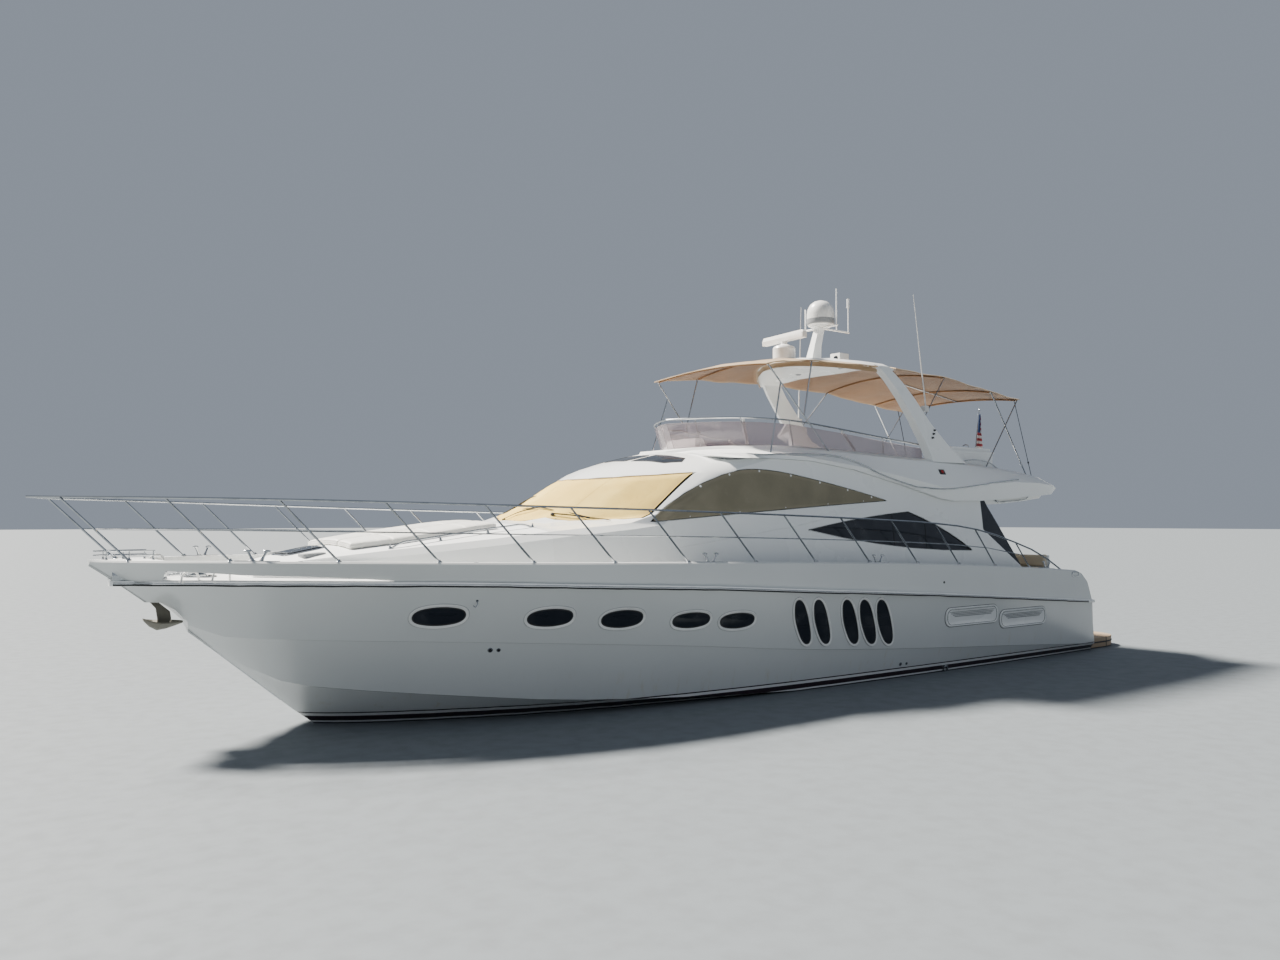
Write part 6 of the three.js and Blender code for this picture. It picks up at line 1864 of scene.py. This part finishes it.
def make_wet_bar_details():
    """Sink, hob, tap and locker doors with their pulls."""
    form = Form()
    form.block((-5.20, 0.90, BAR_TOP), (-4.75, 1.14, BAR_TOP + 0.009), 0.003, 0.03, 0)
    form.block((-5.52, 0.93, BAR_TOP), (-5.32, 1.12, BAR_TOP + 0.015), 0.004, 0.02, 1)
    tap = [(TAP_X, y, z) for y, z in ((1.155, 4.05), (1.155, 4.16), (1.09, 4.19), (1.03, 4.17))]
    form.tube(eased(tap, 5), 0.009, 8)
    for x in BAR_DOORS:
        form.block((x - 0.19, BAR_FRONT, 3.30), (x + 0.19, BAR_FRONT + 0.010, 3.92), 0.003, 0.02, 2)
        form.turned(LOCKER_PULL, (x + 0.13, BAR_FRONT, 3.82), (0, -1, 0), 14)
    make_piece("wet_bar_fittings", form, ["steel", "black", "gel"])


def make_windlass_details():
    """The plate under the windlass and its two foot switches."""
    form = Form()
    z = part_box("anchor_windlass")[0][2]
    form.block((9.20, -0.24, z - 0.006), (9.50, 0.16, z + 0.008), 0.003, 0.05)
    for y in (-0.14, 0.06):
        form.turned(FOOT_SWITCH, (9.17, y, z), sides=16, tag=1)
    make_piece("windlass_plate", form, ["steel", "rubber"])


STRAKE_Z, STRAKE_ENDS = 0.12, (-7.66, -8.88)  # height, and x of the ends of its runs along the sides
LASHINGS = [(-8.75, 1.35), (-8.75, -1.35), (-7.95, 1.7), (-7.95, -1.7)]


def make_platform_details():
    """The rubber strake round the platform, the swim ladder's lid and the lashing points."""
    form, skin = Form(), Skin("bathing_platform")
    along = spread(*STRAKE_ENDS, 24)
    port, starboard = ([skin.side(side, x, STRAKE_Z)[0] for x in along] for side in (1, -1))
    stern = [skin.hit((-12, y, STRAKE_Z), (1, 0, 0))[0] for y in spread(1.5, -1.5, 30)[1:-1]]
    form.tube(port + stern + starboard[::-1], 0.016, 8)
    form.block((-9.02, -1.06, 0.2135), (-8.62, -0.50, 0.2205), 0.002, 0.03, 1)
    for x, y in LASHINGS:
        form.turned(LASHING_DISH, (x, y, 0.215), sides=16, tag=1)
        form.tube([(x - 0.02, y, 0.217), (x, y, 0.224), (x + 0.02, y, 0.217)], 0.003, 6, 1)
    make_piece("platform_fittings", form, ["rubber", "steel"])


DOOR_RIM = ((-1.12, 0.36), (1.12, 0.90))  # y and z of the garage door's raised rim
PULLS = [(-0.5, 0.42), (0.5, 0.42)]


def make_stern_details():
    """The garage door's rim and flush pulls, and the transom gate's panel and catch."""
    door, form, gate = Skin("garage_door"), Form(), Form()

    def on_door(y, z):
        return door.hit((-10, y, z), (1, 0, 0))

    rim = dense_outline(rounded(*DOOR_RIM, 0.08), 0.12)
    moulding(form, on_door, rim, DOOR_ROWS)
    for spot in PULLS:
        form.turned(DOOR_PULL, *on_door(*spot), 20, 1)
    make_piece("garage_door_fittings", form, ["gel", "steel"], body="garage_door")
    low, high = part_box("transom_gate")
    face, edge, z = high[0], high[1], (low[2] + high[2]) / 2
    gate.block((face - 0.002, low[1] + 0.06, z - 0.10), (face + 0.006, edge - 0.06, z + 0.10), 0.003, 0.02)
    gate.turned(GATE_CATCH, (face + 0.004, edge - 0.10, z + 0.04), (1, 0, 0), 14, 1)
    make_piece("transom_gate_fittings", gate, ["gel", "steel"], body="transom_gate")


def make_door_details():
    """Frames of the saloon door's leaves, and its pull handle."""
    for node, body in (("saloon_door", "saloon_door"), ("saloon_fixed_panel", "boat")):
        form, (low, high) = Form(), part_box(node)
        outline = rounded((low[1] + 0.002, low[2] + 0.002), (high[1] - 0.002, high[2] - 0.002), 0.012)
        for x0, x1 in ((low[0] - 0.0015, low[0] + 0.004), (high[0] - 0.004, high[0] + 0.0015)):
            section = ((-0.002, x0), (-0.045, x0), (-0.045, x1), (-0.002, x1))
            form.loft([[(x, u, v) for u, v in grown(outline, grow)] for grow, x in section], ring=True)
        if body == "saloon_door":
            y = high[1] - 0.055  # at the closing edge, clear of the fixed leaf when the door is open
            for x, out in ((low[0], low[0] - 0.02), (high[0], high[0] + 0.02)):
                pull = [(x, y, 2.0), (out, y, 2.0), (out, y, 2.3), (x, y, 2.3)]
                form.tube(eased(pull, 3), 0.008, 8)
        make_piece(node + "_frame", form, "steel", body=body)


def make_hatch_details():
    """The hatch lid's rim and its two catches."""
    form, lid, (low, high) = Form(), Skin("foredeck_hatch"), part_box("foredeck_hatch")
    edge = rounded((low[0] + 0.004, low[1] + 0.004), (high[0] - 0.030, high[1] - 0.004), 0.05, 4)
    moulding(form, lid.top, dense_outline(edge, 0.08), HATCH_ROWS)
    for y in (-0.15, 0.15):
        form.turned(HATCH_CATCH, *lid.top(7.95, y), 14)
    make_piece("foredeck_hatch_rim", form, "steel", body="foredeck_hatch")


make_hull_lights()
make_engine_intakes()
make_outlets()
make_belt_shadow_line()
make_stem_guard()
make_deck_gear()
make_bow_gear()
make_roller_guard()
make_roof_rails()
make_hatch_frame()
make_hatch_details()
make_canopy("forward", CANOPY_FORE, FORE_HOOPS, FORE_HOLD, 1)
make_canopy("aft", CANOPY_AFT, AFT_HOOPS, AFT_HOLD, 2)
make_arch_valance()
make_canopy_straps()
make_windscreen_cover()
make_side_covers()
make_ensign()
make_seat_mouldings()
make_cushions()
make_window_trims()
make_side_lines()
make_navigation_lights()
make_skylights()
make_wipers()
make_fly_screen_posts()
make_overhang_rails()
make_arch_details()
make_scanner_details()
make_helm()
make_wet_bar_details()
make_windlass_details()
make_platform_details()
make_stern_details()
make_door_details()

# Light and floor


# kind, place, size (a sun's in radians, a lamp's in metres), power and tone
LIGHTS = {
    "key": ("SUN", (7, -15, 21), math.radians(9), 18.0, (1.0, 0.95, 0.87)),
    "fill": ("AREA", (10, 16, 10), 14, 150, (0.9, 0.95, 1.0)),
}
LIT_POINT = Vector((0, 0, 2))
FLOOR_REACH = 300


def make_studio():
    """A pale sky, a soft sun, a fill lamp and a plain floor at the waterline."""
    world = bpy.data.worlds.new("studio")
    world.use_nodes = True
    back = world.node_tree.nodes["Background"]
    back.inputs["Color"].default_value = (0.74, 0.84, 1.0, 1)
    back.inputs["Strength"].default_value = 0.36
    bpy.context.scene.world = world
    for name, (kind, at, size, power, tone) in LIGHTS.items():
        data = bpy.data.lights.new(name, kind)
        setattr(data, "angle" if kind == "SUN" else "size", size)
        data.energy, data.color = power, tone
        lamp = bpy.data.objects.new(name, data)
        lamp.location = at
        lamp.rotation_euler = (LIT_POINT - Vector(at)).to_track_quat("-Z", "Y").to_euler()
        bpy.context.scene.collection.objects.link(lamp)
    mesh = bpy.data.meshes.new("floor")
    corners = [(FLOOR_REACH * x, FLOOR_REACH * y, 0) for x, y in ((-1, -1), (1, -1), (1, 1), (-1, 1))]
    mesh.from_pydata(corners, [], [(0, 1, 2, 3)])
    floor = bpy.data.objects.new("floor", mesh)
    bpy.context.scene.collection.objects.link(floor)
    mesh.materials.append(plain_look("floor_paper", (0.165, 0.185, 0.20), 0.75))


make_studio()
